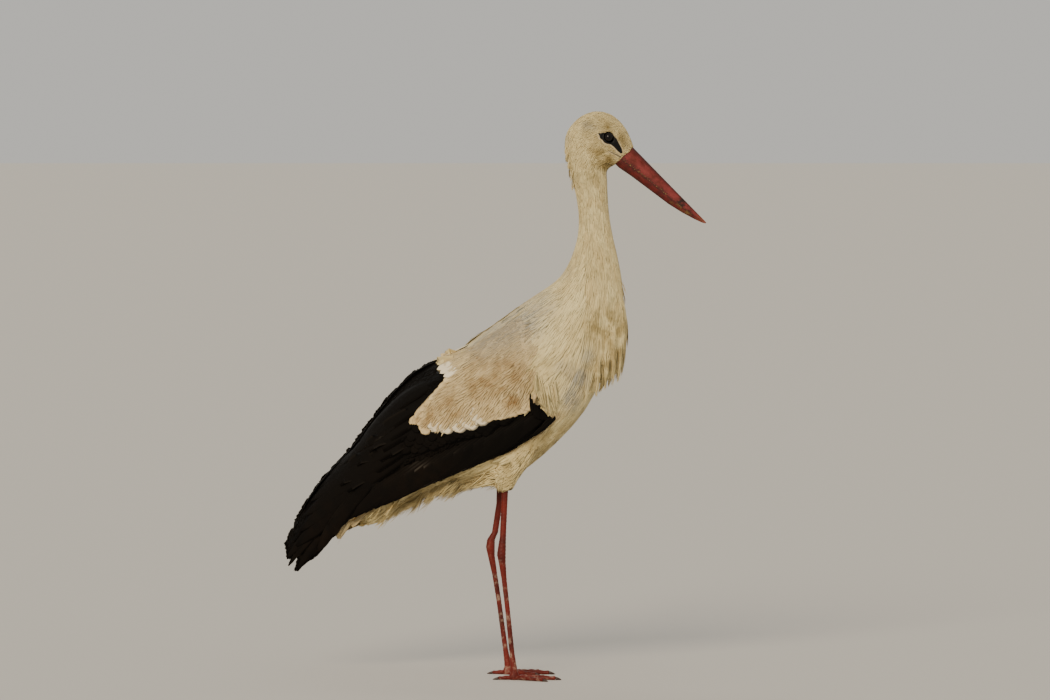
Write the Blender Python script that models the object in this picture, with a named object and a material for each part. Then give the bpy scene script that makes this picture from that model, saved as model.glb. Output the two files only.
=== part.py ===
"""White stork at rest: a life-size, still model that stands on its two feet.

The bird faces +X, its right side is -Y, and the floor is z = 0. The origin is on the floor, under the middle
of the bird's length. Sizes are in millimetres, and MM turns them to Blender's metres where points are made.

The body is one loft of cross-sections from the vent to the forehead, parted by plane cuts into trunk, neck and
head. Each folded wing is a shell between an outer envelope and the body below it, parted by thin blades into
scapulars, coverts, tertials, secondaries and primaries. All pieces keep GAP between them.
"""

import math

import bmesh
import bpy
from mathutils import Matrix, Vector

for left_over in list(bpy.data.objects):
    bpy.data.objects.remove(left_over)

MM = 0.001
GAP = 0.3
FIT = 0.6  # how far a cutter is grown, so that what it cuts keeps a little more than GAP at facets

# Head, bill and eyes
BILL_BASE = ((221.0, 847.0), (192.5, 820.5))  # culmen and chin
BILL_TIP = (337.0, 729.0)
BILL_ROOTED = 9.0  # how far the bill runs back into the head
GAPE = ((179.0, 846.0), (204.0, 829.0), (242.0, 797.5), (285.0, 765.5), (345.0, 719.5))
EYE_PLACE = (180.0, 20.6, 866.0)
EYE_RADIUS = 8.5

# Legs and feet
KNEE_LINE = 303.0  # where the feathered thigh ends and the bare leg begins
ANKLE_HEIGHT = {"right": 200.0, "left": 205.0}
FOOT_TOP = 12.0
LEG_SIDE = 46.0  # from the middle plane to each leg
LEG_LINE = {  # x at the thigh's end, above the ankle, at the ankle, at mid tarsus and at the toes
    "right": (15.0, 12.0, 9.5, 18.5, 30.0),
    "left": (7.0, -1.0, -8.5, 5.0, 20.0),
}
FOOT_TURN = {"right": 5.0, "left": -3.0}  # degrees
SIDES = {"right": -1.0, "left": 1.0}

# name: (angle outwards from the middle toe, length to the claw, radius at the root)
TOES = {
    "inner": (-29.0, 52.0, 4.3),
    "middle": (0.0, 66.0, 4.7),
    "outer": (30.0, 56.0, 4.3),
    "hind": (173.0, 25.0, 4.0),
}
CLAW_LENGTH = 9.0
WEB_REACH = 21.0

# Cross-sections: dorsal x, z, ventral x, z, half width, egg (above 0 is widest towards the back)
BODY = [
    (-214, 258, -200, 247, 12, 0.0),
    (-198, 290, -180, 251, 26, 0.0),
    (-172, 338, -138, 275, 42, 0.0),
    (-142, 392, -97, 296, 59, 0.0),
    (-112, 449, -60, 305, 74, 0.0),
    (-76, 503, -18, 309, 84, 0.0),
    (-38, 542, 22, 318, 89, 0.0),
    (-8, 562, 57, 341, 91, 0.0),
    (21, 583, 98, 377, 88, 0.0),
    (51, 604, 140, 424, 80, 0.0),
    (81, 624, 172, 480, 66, 0.0),
    (103, 641, 194, 532, 52, 0.0),
    (117, 663, 203, 585, 42, 0.0),
    (126, 685, 203, 628, 34, 0.0),
    (132, 709, 196, 668, 29, 0.0),
    (133.5, 740, 184, 724, 26, 0.0),
    (129.5, 770, 179.5, 762, 24.5, 0.0),
    (121, 805, 178.5, 795, 25, 0.0),
    (112, 839, 177.5, 811, 26.5, 0.0),
    (111.5, 865, 181, 815.5, 28, 0.0),
    (121, 884, 185, 818, 28.5, 0.0),
    (138, 899.5, 188, 819.5, 28.5, 0.0),
    (160, 907, 190, 820.2, 27.5, 0.0),
    (183, 902.5, 191.2, 820.5, 25, 0.0),
    (201, 888.5, 192, 820.3, 21.5, 0.0),
    (212.5, 871, 192, 820, 18, 0.0),
    (221.7, 848.2, 191.7, 819.4, 14.8, 0.0),
]
TRUNK_TO, LOWER_NECK_TO, UPPER_NECK_TO = 10.5, 14.5, 18.0  # row numbers where the body is parted

# Folded wing: upper x, z, lower x, z, widest, y of the upper and of the lower edge, thickness
WING = [
    (84, 585, 122, 455, 62, 34, 46, 22),
    (56, 588, 92, 412, 85, 40, 68, 22),
    (0, 556, 28, 369, 97, 40, 77, 20),
    (-50, 527, -38, 341, 99, 28, 78, 18),
    (-98, 507, -100, 315, 94, 12, 72, 15),
    (-145, 477, -159, 287, 83, 1, 62, 12),
    (-190, 424, -205, 269, 70, 0.3, 53, 10),
    (-228, 371, -242, 250, 57, 0.3, 44, 9),
    (-262, 336, -265, 224, 46, 0.3, 36, 8),
    (-290, 303, -283, 198, 36, 0.3, 29, 7),
    (-310, 270, -305, 184, 28, 0.3, 23, 6),
    (-326, 237, -321, 169, 22, 0.3, 18, 6),
    (-336, 214, -334, 176, 17, 2, 14, 6),
]
WING_TIP_NOTCH = ((-314, 202), (-335, 188), (-350, 184), (-350, 170), (-322, 170))

# Where the wing is parted, as lines in the XZ plane
COVERT_TIPS = [(-140, 407), (-118, 401), (-92, 391), (-55, 398), (-24, 409), (1, 416), (46, 424), (62, 452)]
COVERT_TIPS += [(84, 416), (150, 410)]
TERTIAL_EDGE = [(-253, 268), (-196, 330), (-140, 407), (-79, 485), (-93, 496), (-72, 524), (-60, 580)]
SCAPULAR_EDGE = [(-79, 485), (-30, 502), (30, 540), (72, 560), (120, 560)]
PRIMARY_EDGE = [(-330, 330), (-276, 300), (-252, 268), (-246, 240), (-262, 180)]

TAIL = [
    (-160, 386, -142, 356, 22, 0),
    (-200, 330, -186, 310, 26, 0),
    (-232, 278, -221, 262, 29, 0),
    (-258, 233, -249, 222, 29, 0),
]

# Each hanging lock of the breast: side, tip x, tip z, widest radius
BREAST_TOP = 632.0
BREAST_LOCKS = [
    (0.0, 199.0, 482.0, 17.0),
    (-15.0, 201.5, 497.0, 16.0),
    (15.0, 200.5, 490.0, 16.0),
    (-29.0, 186.0, 473.0, 16.0),
    (29.0, 190.0, 478.0, 16.0),
    (-42.0, 162.0, 455.0, 15.0),
    (42.0, 165.0, 460.0, 15.0),
]

RING_POINTS = 18


# ---------------------------------------------------------------- materials


def material(name, colour, roughness):
    made = bpy.data.materials.new(name)
    made.use_nodes = True
    shader = made.node_tree.nodes["Principled BSDF"]
    shader.inputs["Base Color"].default_value = (*colour, 1.0)
    shader.inputs["Roughness"].default_value = roughness
    shader.inputs["Metallic"].default_value = 0.0
    return made


# ---------------------------------------------------------------- shaping


def side_point(x, z, y=0.0):
    return Vector((x, y, z))


def smooth_row(rows, place):
    """The row at a place between the rows, by Catmull-Rom interpolation of every column."""
    last = len(rows) - 1
    first = min(int(place), last - 1)
    t = place - first
    a, b, c, d = (rows[max(0, min(last, first + k))] for k in (-1, 0, 1, 2))
    return [
        0.5 * (2 * q + (r - p) * t + (2 * p - 5 * q + 4 * r - s) * t**2 + (3 * q - p - 3 * r + s) * t**3)
        for p, q, r, s in zip(a, b, c, d)
    ]


def cross_section(row, grow=0.0):
    """A closed ring whose plane holds the Y axis and the line from the dorsal to the ventral point.

    A row is dorsal x, dorsal z, ventral x, ventral z, half width, and egg, which is above 0 where the
    ring is widest towards the back and below 0 where it is widest towards the belly.
    """
    dorsal, ventral = side_point(row[0], row[1]), side_point(row[2], row[3])
    middle, rise = (dorsal + ventral) / 2, (dorsal - ventral) / 2
    rise *= 1 + grow / max(rise.length, grow + 1)
    ring = []
    for i in range(RING_POINTS):
        angle = 2 * math.pi * i / RING_POINTS
        across = (row[4] + grow) * math.sin(angle) * (1 + row[5] * math.cos(angle))
        ring.append(middle + rise * math.cos(angle) + Vector((0, across, 0)))
    return ring


def rings_along(rows, per_row, grow=0.0):
    steps = (len(rows) - 1) * per_row
    return [cross_section(smooth_row(rows, i / per_row), grow) for i in range(steps + 1)]


def loft(name, rings):
    """A closed mesh through the rings, with a flat cap on each end."""
    shape = bmesh.new()
    loops = [[shape.verts.new(point * MM) for point in ring] for ring in rings]
    for near, far in zip(loops, loops[1:]):
        for i in range(len(near)):
            shape.faces.new((near[i - 1], near[i], far[i], far[i - 1]))
    shape.faces.new(loops[0])
    shape.faces.new(loops[-1])
    bmesh.ops.recalc_face_normals(shape, faces=shape.faces)
    return finish(name, shape)


def finish(name, shape):
    mesh = bpy.data.meshes.new(name)
    shape.to_mesh(mesh)
    shape.free()
    made = bpy.data.objects.new(name, mesh)
    bpy.context.scene.collection.objects.link(made)
    return made


def prism(name, outline, reach=140.0):
    """The outline, given in the XZ plane, extruded along Y to both sides."""
    shape = bmesh.new()
    face = shape.faces.new([shape.verts.new(side_point(x, z, -reach) * MM) for x, z in outline])
    bmesh.ops.triangulate(shape, faces=[face])
    front = shape.faces[:]
    grown = bmesh.ops.extrude_face_region(shape, geom=front)["geom"]
    moved = [v for v in grown if isinstance(v, bmesh.types.BMVert)]
    bmesh.ops.translate(shape, verts=moved, vec=Vector((0, 2 * reach * MM, 0)))
    bmesh.ops.recalc_face_normals(shape, faces=shape.faces)
    return finish(name, shape)


def blade(name, line, thickness=GAP + 0.05):
    """A thin wall along a line in the XZ plane, which parts a piece in two."""
    points = [Vector(p) for p in line]
    left, right = [], []
    for i, point in enumerate(points):
        along = (points[min(i + 1, len(points) - 1)] - points[max(i - 1, 0)]).normalized()
        normal = Vector((-along.y, along.x)) * thickness / 2
        left.append(point + normal)
        right.append(point - normal)
    return prism(name, [tuple(p) for p in left + right[::-1]])


def helper(shape):
    shape.hide_render = True
    shape.display_type = "WIRE"
    return shape


def size_if_closed(mesh):
    """The mesh's volume, or 0 where any edge is open or shared by more than two faces."""
    shape = bmesh.new()
    shape.from_mesh(mesh)
    closed = len(shape.faces) > 0 and all(edge.is_manifold for edge in shape.edges)
    volume = shape.calc_volume() if closed else 0.0
    shape.free()
    return volume


def combine(shape, other, operation="DIFFERENCE"):
    """Joins or cuts, and leaves the result as the object's own mesh: EXACT, or MANIFOLD where that fails."""
    before = size_if_closed(shape.data)
    results = []
    for solver in ("EXACT", "MANIFOLD"):
        modifier = shape.modifiers.new(operation.title(), "BOOLEAN")
        modifier.operation = operation
        modifier.solver = solver
        modifier.object = other
        graph = bpy.context.evaluated_depsgraph_get()
        results.append(bpy.data.meshes.new_from_object(shape.evaluated_get(graph)))
        shape.modifiers.clear()
    exact, manifold = (size_if_closed(mesh) for mesh in results)
    agree = abs(exact - manifold) < 0.002 * before
    shape.data = results[0] if exact > 0 and agree else results[1]
    return shape


def copy_of(shape, name):
    made = bpy.data.objects.new(name, shape.data.copy())
    bpy.context.scene.collection.objects.link(made)
    return made


def grown_copy(shape, name, by=FIT):
    """A helper copy pushed outwards, which cuts a neighbour with a gap."""
    made = copy_of(shape, name)
    swell = bmesh.new()
    swell.from_mesh(made.data)
    swell.normal_update()
    for vertex in swell.verts:
        vertex.co += vertex.normal * by * MM
    swell.to_mesh(made.data)
    swell.free()
    return helper(made)


def separate(shape, names_at):
    """Makes each loose part an object of its own, named after the nearest of the given XZ places."""
    whole = bmesh.new()
    whole.from_mesh(shape.data)
    whole.verts.ensure_lookup_table()
    unseen, parts = set(whole.verts), []
    while unseen:
        island, front = set(), [unseen.pop()]
        while front:
            vertex = front.pop()
            island.add(vertex.index)
            near = {e.other_vert(vertex) for e in vertex.link_edges} & unseen
            unseen -= near
            front.extend(near)
        parts.append(island)
    made = {}
    for name, place in names_at.items():
        island = nearest_part(whole, parts, place)
        parts.remove(island)
        piece = whole.copy()
        piece.verts.ensure_lookup_table()
        bmesh.ops.delete(piece, geom=[v for v in piece.verts if v.index not in island], context="VERTS")
        made[name] = finish(name, piece)
    whole.free()
    bpy.data.objects.remove(shape)
    return made


def dress(shape, look):
    shape.data.materials.clear()
    shape.data.materials.append(look)
    shape.data.shade_smooth()
    shape.data.set_sharp_from_angle(angle=math.radians(40))
    return shape


def nearest_part(whole, parts, place):
    """The part whose middle, seen from the side, is nearest to a place."""
    target = Vector(place) * MM

    def distance(part):
        total = Vector((0.0, 0.0))
        for index in part:
            total += Vector((whole.verts[index].co.x, whole.verts[index].co.z))
        return (total / len(part) - target).length

    return min(parts, key=distance)


# ---------------------------------------------------------------- looks

WHITE = material("plumage_white", (0.80, 0.73, 0.60), 0.9)
BLACK = material("plumage_black", (0.012, 0.010, 0.009), 0.6)
BILL_RED = material("bill_horn", (0.42, 0.07, 0.04), 0.45)
LEG_RED = material("leg_skin", (0.40, 0.06, 0.035), 0.6)
CLAW_HORN = material("claw_horn", (0.12, 0.06, 0.04), 0.5)
EYE_DARK = material("eye", (0.02, 0.012, 0.008), 0.15)

# ---------------------------------------------------------------- trunk, neck and head


def body_range(name, first, last, per_row=2):
    """The part of the body between two row numbers, drawn back by half the gap at each cut end."""
    places = [i / per_row for i in range(math.ceil(first * per_row), math.floor(last * per_row) + 1)]
    if places[0] > first:
        places.insert(0, first)
    rings = [cross_section(smooth_row(BODY, place)) for place in places]
    ends = [(0, 1, first > 0), (-1, -2, last < len(BODY) - 1)]
    for end, inner, parted in ends:
        if parted:
            centre = sum(rings[end], Vector()) / RING_POINTS
            inward = (sum(rings[inner], Vector()) / RING_POINTS - centre).normalized()
            rings[end] = [point + inward * (GAP / 2 + 0.05) for point in rings[end]]
    return loft(name, rings)


trunk = body_range("trunk", 0, TRUNK_TO)
neck_lower = body_range("neck_lower", TRUNK_TO, LOWER_NECK_TO)
neck_upper = body_range("neck_upper", LOWER_NECK_TO, UPPER_NECK_TO)
head = body_range("head", UPPER_NECK_TO, len(BODY) - 1)

# ---------------------------------------------------------------- bill


def bill_rings():
    """Rings down the bill: a straight culmen, and a lower edge that fills a little before the tip."""
    culmen, chin = (Vector(p) for p in BILL_BASE)
    tip = Vector(BILL_TIP)
    along = (tip - (culmen + chin) / 2).normalized()
    down = Vector((along.y, -along.x))
    # share of the length: (depth, half width)
    profile = {0.0: (38.6, 13.4), 0.15: (33.8, 11.6), 0.35: (28.8, 9.4), 0.6: (22.6, 7.1)}
    profile.update({0.76: (16.4, 5.3), 0.89: (9.8, 3.5), 1.0: (2.2, 0.9)})
    rings = []
    for share, (depth, half) in profile.items():
        top = culmen.lerp(tip, share) - down * 0.6 * math.sin(math.pi * share)
        bottom = chin if share == 0 else top + down * depth
        rings.append(cross_section((top.x, top.y, bottom.x, bottom.y, half, 0.0)))
    back = Vector((-along.x, 0, -along.y)) * BILL_ROOTED
    middle = sum(rings[0], Vector()) / RING_POINTS
    rooted = [middle + back + (point - middle) * 0.8 for point in rings[0]]
    return [rooted] + rings


bill = loft("bill", bill_rings())
head = combine(head, grown_copy(bill, "bill_socket"))
bill = combine(bill, helper(blade("gape", GAPE)))
bill_parts = separate(bill, {"bill_upper": (270, 790), "bill_lower": (250, 775)})

# ---------------------------------------------------------------- eyes


def ball(name, centre, radius, segments=14, rings=9):
    shape = bmesh.new()
    bmesh.ops.create_uvsphere(shape, u_segments=segments, v_segments=rings, radius=radius * MM)
    turn = Matrix.Rotation(math.pi / 2, 4, "X")
    bmesh.ops.transform(shape, matrix=Matrix.Translation(Vector(centre) * MM) @ turn, verts=shape.verts)
    return finish(name, shape)


eyes = []
for side, sign in SIDES.items():
    place = (EYE_PLACE[0], EYE_PLACE[1] * sign, EYE_PLACE[2])
    head = combine(head, helper(ball(f"socket_{side}", place, EYE_RADIUS + FIT + 0.15, 12, 8)))
    eyes.append(ball(f"eye_{side}", place, EYE_RADIUS))

# ---------------------------------------------------------------- tail

tail = loft("tail", rings_along(TAIL, 2))
tail = combine(tail, grown_copy(trunk, "trunk_in_tail"))

# ---------------------------------------------------------------- breast plumes


def hanging_lock(name, side, tip_x, tip_z, radius):
    """A pointed lock that hangs from the lower neck and lies on the breast."""
    lean = side / 42.0
    top_x = 186.0 - 26.0 * lean * lean
    belly_x = tip_x + 3.0 - 2.0 * abs(lean)
    swell = 3.8 + 4.0 * lean * lean
    stations = [
        (0.0, top_x, side * 0.35, radius * 0.8),
        (0.3, belly_x - radius + swell, side * 0.72, radius * 1.05),
        (0.6, belly_x - radius + swell + 2.0, side * 0.92, radius * 1.1),
        (0.85, belly_x - radius * 0.6 + 2.0, side * 0.98, radius * 0.72),
        (1.0, tip_x - 2.0, side, radius * 0.12),
    ]
    rings = []
    for i in range(6):
        share, x, y, r = smooth_row(stations, i * 4 / 5)
        z = BREAST_TOP + (tip_z - BREAST_TOP) * share
        turn = [2 * math.pi * k / 8 for k in range(8)]
        rings.append([Vector((x + r * math.cos(a), y + r * math.sin(a), z)) for a in turn])
    return loft(name, rings)


locks = [hanging_lock(f"lock_{i}", *row) for i, row in enumerate(BREAST_LOCKS)]
bundle = locks[0]
for lock in locks[1:]:
    bundle = combine(bundle, helper(lock), "UNION")
for under in (trunk, neck_lower):
    bundle = combine(bundle, grown_copy(under, f"{under.name}_in_breast"))
breast = separate(bundle, {"breast_plumes": (200, 540)})["breast_plumes"]

# ---------------------------------------------------------------- wings


def wing_ring(row, sign, points=9):
    """A closed ring: the wing's outer face from the upper edge to the lower, and back along its inner face."""
    upper, lower = Vector(row[0:2]), Vector(row[2:4])
    outer, inner = [], []
    for i in range(points):
        share = 0.5 - 0.5 * math.cos(math.pi * i / (points - 1))
        edge = row[5] + (row[6] - row[5]) * share
        y = edge + (row[4] - edge) * math.sin(math.pi * share) ** 0.62
        place = upper.lerp(lower, share)
        outer.append(Vector((place.x, sign * y, place.y)))
        inner.append(Vector((place.x, sign * max(0.2, y - row[7]), place.y)))
    return outer + inner[::-1]


def folded_wing(side, sign):
    rings = [wing_ring(smooth_row(WING, i / 1.5), sign) for i in range(19)]
    wing = loft(f"wing_{side}", rings)
    for under in (trunk, tail, neck_lower, breast):
        wing = combine(wing, grown_copy(under, f"{under.name}_in_wing_{side}"))
    wing = combine(wing, helper(prism(f"tip_notch_{side}", WING_TIP_NOTCH)))
    for name, line in (
        ("covert_tips", COVERT_TIPS),
        ("tertial_edge", TERTIAL_EDGE),
        ("scapular_edge", SCAPULAR_EDGE),
        ("primary_edge", PRIMARY_EDGE),
    ):
        wing = combine(wing, helper(blade(f"{name}_{side}", line)))
    return separate(
        wing,
        {
            f"scapulars_{side}": (-20, 545),
            f"coverts_{side}": (-20, 455),
            f"tertials_{side}": (-190, 380),
            f"secondaries_{side}": (-100, 350),
            f"primaries_{side}": (-295, 230),
        },
    )


wings = {}
for side, sign in SIDES.items():
    wings.update(folded_wing(side, sign))

# ---------------------------------------------------------------- legs


def level_ring(x, y, z, half_x, half_y, points=12):
    turn = [2 * math.pi * i / points for i in range(points)]
    return [Vector((x + half_x * math.cos(a), y + half_y * math.sin(a), z)) for a in turn]


def leg(side, sign):
    """Feathered thigh, bare tibia and tarsus, each with flat ends a gap apart."""
    y = sign * LEG_SIDE
    x_top, x_shin, x_ankle, x_mid, x_toes = LEG_LINE[side]
    ankle = ANKLE_HEIGHT[side]
    thigh_rows = [
        (x_top + 16, y * 0.95, 372.0, 40, 24),
        (x_top + 9, y * 0.98, 345.0, 31, 22),
        (x_top + 2, y, 322.0, 20, 17),
        (x_top, y, KNEE_LINE, 12, 11),
    ]
    tibia_rows = [
        (x_top, y, KNEE_LINE - GAP - 0.05, 5.2, 4.6),
        (x_top - 1, y, 275.0, 4.8, 4.2),
        (x_shin, y, 229.0, 4.8, 4.2),
        (x_ankle + 1, y, ankle + 12, 6.2, 5.6),
        (x_ankle, y, ankle + GAP / 2 + 0.05, 6.9, 6.3),
    ]
    tarsus_rows = [
        (x_ankle, y, ankle - GAP / 2, 6.9, 6.3),
        (x_ankle + 1.5, y, ankle - 14, 5.4, 4.9),
        ((x_ankle + x_mid) / 2, y, (ankle + 120.0) / 2, 4.0, 3.6),
        (x_mid, y, 120.0, 3.7, 3.4),
        (x_mid + (x_toes - x_mid) * 0.72, y, 40.0, 3.9, 3.6),
        (x_toes - 1, y, FOOT_TOP + 8, 5.0, 4.8),
        (x_toes, y, FOOT_TOP + GAP + 0.05, 5.8, 5.6),
    ]
    made = []
    for name, rows in (("thigh", thigh_rows), ("tibia", tibia_rows), ("tarsus", tarsus_rows)):
        rings = [level_ring(*row) for row in rows]
        made.append(loft(f"{name}_{side}", rings))
    made[0] = combine(made[0], grown_copy(trunk, f"trunk_in_thigh_{side}"))
    return made


def toe_ring(root, along, distance, radius, height):
    """An upright ring across a toe, flattened where it meets the floor."""
    across = Vector((-along.y, along.x, 0))
    ring = []
    for i in range(8):
        angle = 2 * math.pi * (i + 0.5) / 8
        point = root + along * distance + across * radius * math.cos(angle)
        point.z = max(0.0, height + radius * math.sin(angle))
        ring.append(point)
    return ring


def foot(side, sign):
    """Three front toes and a hind toe on flat soles, with a small web, and a claw on each toe."""
    root = Vector((LEG_LINE[side][4], sign * LEG_SIDE, 0))
    whole = loft(f"foot_{side}", [
        level_ring(root.x, root.y, 0.0, 8.0, 7.6),
        level_ring(root.x, root.y, 6.0, 8.2, 7.8),
        level_ring(root.x, root.y, FOOT_TOP, 5.8, 5.6),
    ])
    claws, reach = [], {}
    for toe, (angle, length, radius) in TOES.items():
        turn = math.radians(sign * (FOOT_TURN[side] + angle))
        along = Vector((math.cos(turn), math.sin(turn), 0))
        reach[toe] = root + along * WEB_REACH
        joints = 4 if toe != "hind" else 2
        rings = []
        for i in range(2 * joints + 1):
            share = i / (2 * joints)
            swell = 1.0 + 0.08 * math.cos(2 * math.pi * joints * share)
            r = radius * (1 - 0.3 * share) * swell
            rings.append(toe_ring(root, along, 2 + (length - 2) * share, r, r * 0.8))
        whole = combine(whole, helper(loft(f"{toe}_toe_{side}", rings)), "UNION")
        tip = radius * 0.7
        claw = []
        for share, size in ((0.0, 0.82), (0.35, 0.7), (0.7, 0.45), (1.0, 0.14)):
            r = tip * size
            distance = length + GAP + 0.05 + CLAW_LENGTH * share
            claw.append(toe_ring(root, along, distance, r, max(0.8 * r, tip * (0.8 - share))))
        claws.append(loft(f"claw_{toe}_{side}", claw))
    for pair in (("inner", "middle"), ("middle", "outer")):
        edge = [root, reach[pair[0]], root.lerp((reach[pair[0]] + reach[pair[1]]) / 2, 0.75), reach[pair[1]]]
        rings = [[Vector((p.x, p.y, z)) for p in edge] for z in (0.9, 3.1)]
        whole = combine(whole, helper(loft(f"web_{pair[0]}_{side}", rings)), "UNION")
    return whole, claws


legs, feet, claws = [], [], []
for side, sign in SIDES.items():
    legs.append(leg(side, sign))
    whole, nails = foot(side, sign)
    feet.append(whole)
    claws.extend(nails)

# ---------------------------------------------------------------- looks and tidying

looks = [(shape, WHITE) for shape in (trunk, neck_lower, neck_upper, head, tail, breast)]
looks += [(shape, BILL_RED) for shape in bill_parts.values()]
looks += [(shape, EYE_DARK) for shape in eyes]
looks += [(shape, WHITE if name.startswith(("scap", "cov")) else BLACK) for name, shape in wings.items()]
for thigh, tibia, tarsus in legs:
    looks += [(thigh, WHITE), (tibia, LEG_RED), (tarsus, LEG_RED)]
looks += [(shape, LEG_RED) for shape in feet] + [(shape, CLAW_HORN) for shape in claws]
for shape, look in looks:
    dress(shape, look)
for shape in list(bpy.data.objects):
    if shape.hide_render:
        bpy.data.objects.remove(shape)
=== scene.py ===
import math

import bmesh
import bpy
import numpy as np
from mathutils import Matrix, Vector
from mathutils.bvhtree import BVHTree
from mathutils.kdtree import KDTree


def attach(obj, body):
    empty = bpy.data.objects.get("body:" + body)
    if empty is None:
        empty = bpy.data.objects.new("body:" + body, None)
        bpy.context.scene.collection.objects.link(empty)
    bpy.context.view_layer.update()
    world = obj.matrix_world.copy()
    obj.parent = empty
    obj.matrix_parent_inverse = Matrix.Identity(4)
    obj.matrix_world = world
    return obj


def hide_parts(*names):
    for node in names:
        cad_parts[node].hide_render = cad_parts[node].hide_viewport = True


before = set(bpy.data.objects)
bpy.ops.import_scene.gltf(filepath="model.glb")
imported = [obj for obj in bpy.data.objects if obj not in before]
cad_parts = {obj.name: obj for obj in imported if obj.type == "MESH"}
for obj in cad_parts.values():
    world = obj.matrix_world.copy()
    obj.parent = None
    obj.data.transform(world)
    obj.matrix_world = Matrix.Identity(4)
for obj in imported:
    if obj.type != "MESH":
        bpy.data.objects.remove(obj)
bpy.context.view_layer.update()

bpy.ops.object.select_all(action="DESELECT")

# -------- the studio
# A pale, matt floor that runs on to the horizon, a wide soft light on the bird's right side, a weaker one from
# behind it and an even pale sky. The camera looks at the bird's right side from a long way off.

MM = 0.001


def linear(code):
    """An sRGB hex colour as linear red, green, blue and alpha."""
    parts = [int(code[i : i + 2], 16) / 255 for i in (1, 3, 5)]
    return [c / 12.92 if c <= 0.04045 else ((c + 0.055) / 1.055) ** 2.4 for c in parts] + [1.0]


def add(tree, kind, links=None, **settings):
    """Adds a node, sets its settings and its sockets' values, and links other nodes or sockets to its inputs."""
    made = tree.nodes.new("ShaderNode" + kind)
    for key, value in settings.items():
        setattr(made, key, value)
    for key, value in (links or {}).items():
        if isinstance(value, bpy.types.Node):
            value = next(socket for socket in value.outputs if socket.enabled)
        if isinstance(value, bpy.types.NodeSocket):
            tree.links.new(value, made.inputs[key])
        else:
            made.inputs[key].default_value = linear(value) if isinstance(value, str) else value
    return made


def new_material(name):
    made = bpy.data.materials.new(name)
    made.use_nodes = True
    made.node_tree.nodes.clear()
    return made, made.node_tree


def end_material(tree, shader):
    add(tree, "OutputMaterial", {"Surface": shader})


FLOOR_SIZE, FLOOR_DROP = 60, 0.2 * MM
bpy.ops.mesh.primitive_plane_add(size=FLOOR_SIZE, location=(0, 0, -FLOOR_DROP))
floor = bpy.context.object
floor.name = "floor"
# Matt emulsion paint: an even, dull surface, on which only the soft shadow shows.
paint, tree = new_material("matt_studio_paint")
end_material(tree, add(tree, "BsdfPrincipled", {"Base Color": "#C6C3BD", "Roughness": 0.95}))
floor.data.materials.append(paint)

SKY = {"Color": linear("#ECE9E2"), "Strength": 0.69}
world = bpy.data.worlds.new("studio")
bpy.context.scene.world = world
world.use_nodes = True
for key, value in SKY.items():
    world.node_tree.nodes["Background"].inputs[key].default_value = value

# where each lamp stands, how wide it looks in degrees, its power and colour, and the place that all are turned to
LAMPS = {"key": ((-1.2, -3.5, 2.3), 26.0, 2.78, "#FFEFD6"), "back": ((-1.5, 3.0, 2.6), 40.0, 0.5, "#F4F2EC")}
LIT_PLACE = Vector((0.02, 0, 0.45))
for name, (place, wide, power, colour) in LAMPS.items():
    bpy.ops.object.light_add(type="SUN", location=place)
    lamp = bpy.context.object
    lamp.name = name
    lamp.data.angle = math.radians(wide)
    lamp.data.energy = power
    lamp.data.color = linear(colour)[:3]
    lamp.rotation_euler = (LIT_PLACE - Vector(place)).to_track_quat("-Z", "Y").to_euler()

VIEW_WIDTH = 1.68
VIEW_CENTRE = Vector((0.0472, 0.0, 0.5248))
VIEW_DISTANCE = 12.0
VIEW_ELEVATION = math.radians(3)
SENSOR_WIDTH = 36
away = Vector((0, -math.cos(VIEW_ELEVATION), math.sin(VIEW_ELEVATION))) * VIEW_DISTANCE
bpy.ops.object.camera_add(location=VIEW_CENTRE + away)
camera = bpy.context.object
camera.rotation_euler = (-away).to_track_quat("-Z", "Y").to_euler()
camera.data.sensor_width = SENSOR_WIDTH
camera.data.lens = SENSOR_WIDTH * VIEW_DISTANCE / VIEW_WIDTH
camera.data.clip_end = 100
bpy.context.scene.camera = camera

# -------- the outer form
# The outside of the closed plumage, which the tips of the feathers reach. It is every feathered solid joined
# and smoothed, and is only a guide: the skin is made from it, the feathers are laid over it, and then it goes.

SIDES = (("right", -1), ("left", 1))


def pairs(*parts):
    return [f"{part}_{side}" for side, sign in SIDES for part in parts]


LEG_NODES = pairs("tibia", "tarsus", "foot")
WHITE_NODES = ["head", "neck_upper", "neck_lower", "breast_plumes", "trunk", "tail"]
WHITE_NODES += pairs("thigh", "scapulars", "coverts")
BLACK_NODES = pairs("tertials", "secondaries", "primaries")


def joined_copy(name, nodes, grow):
    """One mesh of the nodes' own surfaces, each pushed out so that they close the gaps between them."""
    shape = bmesh.new()
    for node in nodes:
        shape.from_mesh(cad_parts[node].data)
    bmesh.ops.remove_doubles(shape, verts=shape.verts, dist=1e-6)
    shape.normal_update()
    for vertex in shape.verts:
        vertex.co += vertex.normal * grow
    mesh = bpy.data.meshes.new(name)
    shape.to_mesh(mesh)
    shape.free()
    made = bpy.data.objects.new(name, mesh)
    bpy.context.scene.collection.objects.link(made)
    return made


def use(piece):
    bpy.ops.object.select_all(action="DESELECT")
    piece.select_set(True)
    bpy.context.view_layer.objects.active = piece


def modify(piece, kind, **settings):
    """Adds a modifier with its settings and applies it."""
    use(piece)
    modifier = piece.modifiers.new(kind.title(), kind)
    for key, value in settings.items():
        setattr(modifier, key, value)
    bpy.ops.object.modifier_apply(modifier=modifier.name)
    return piece


def fused(name, nodes, voxel, rounds, grow=0.35 * MM):
    made = joined_copy(name, nodes, grow)
    modify(made, "REMESH", mode="VOXEL", voxel_size=voxel, use_smooth_shade=True)
    modify(made, "SMOOTH", factor=0.5, iterations=rounds)
    return made


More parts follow.
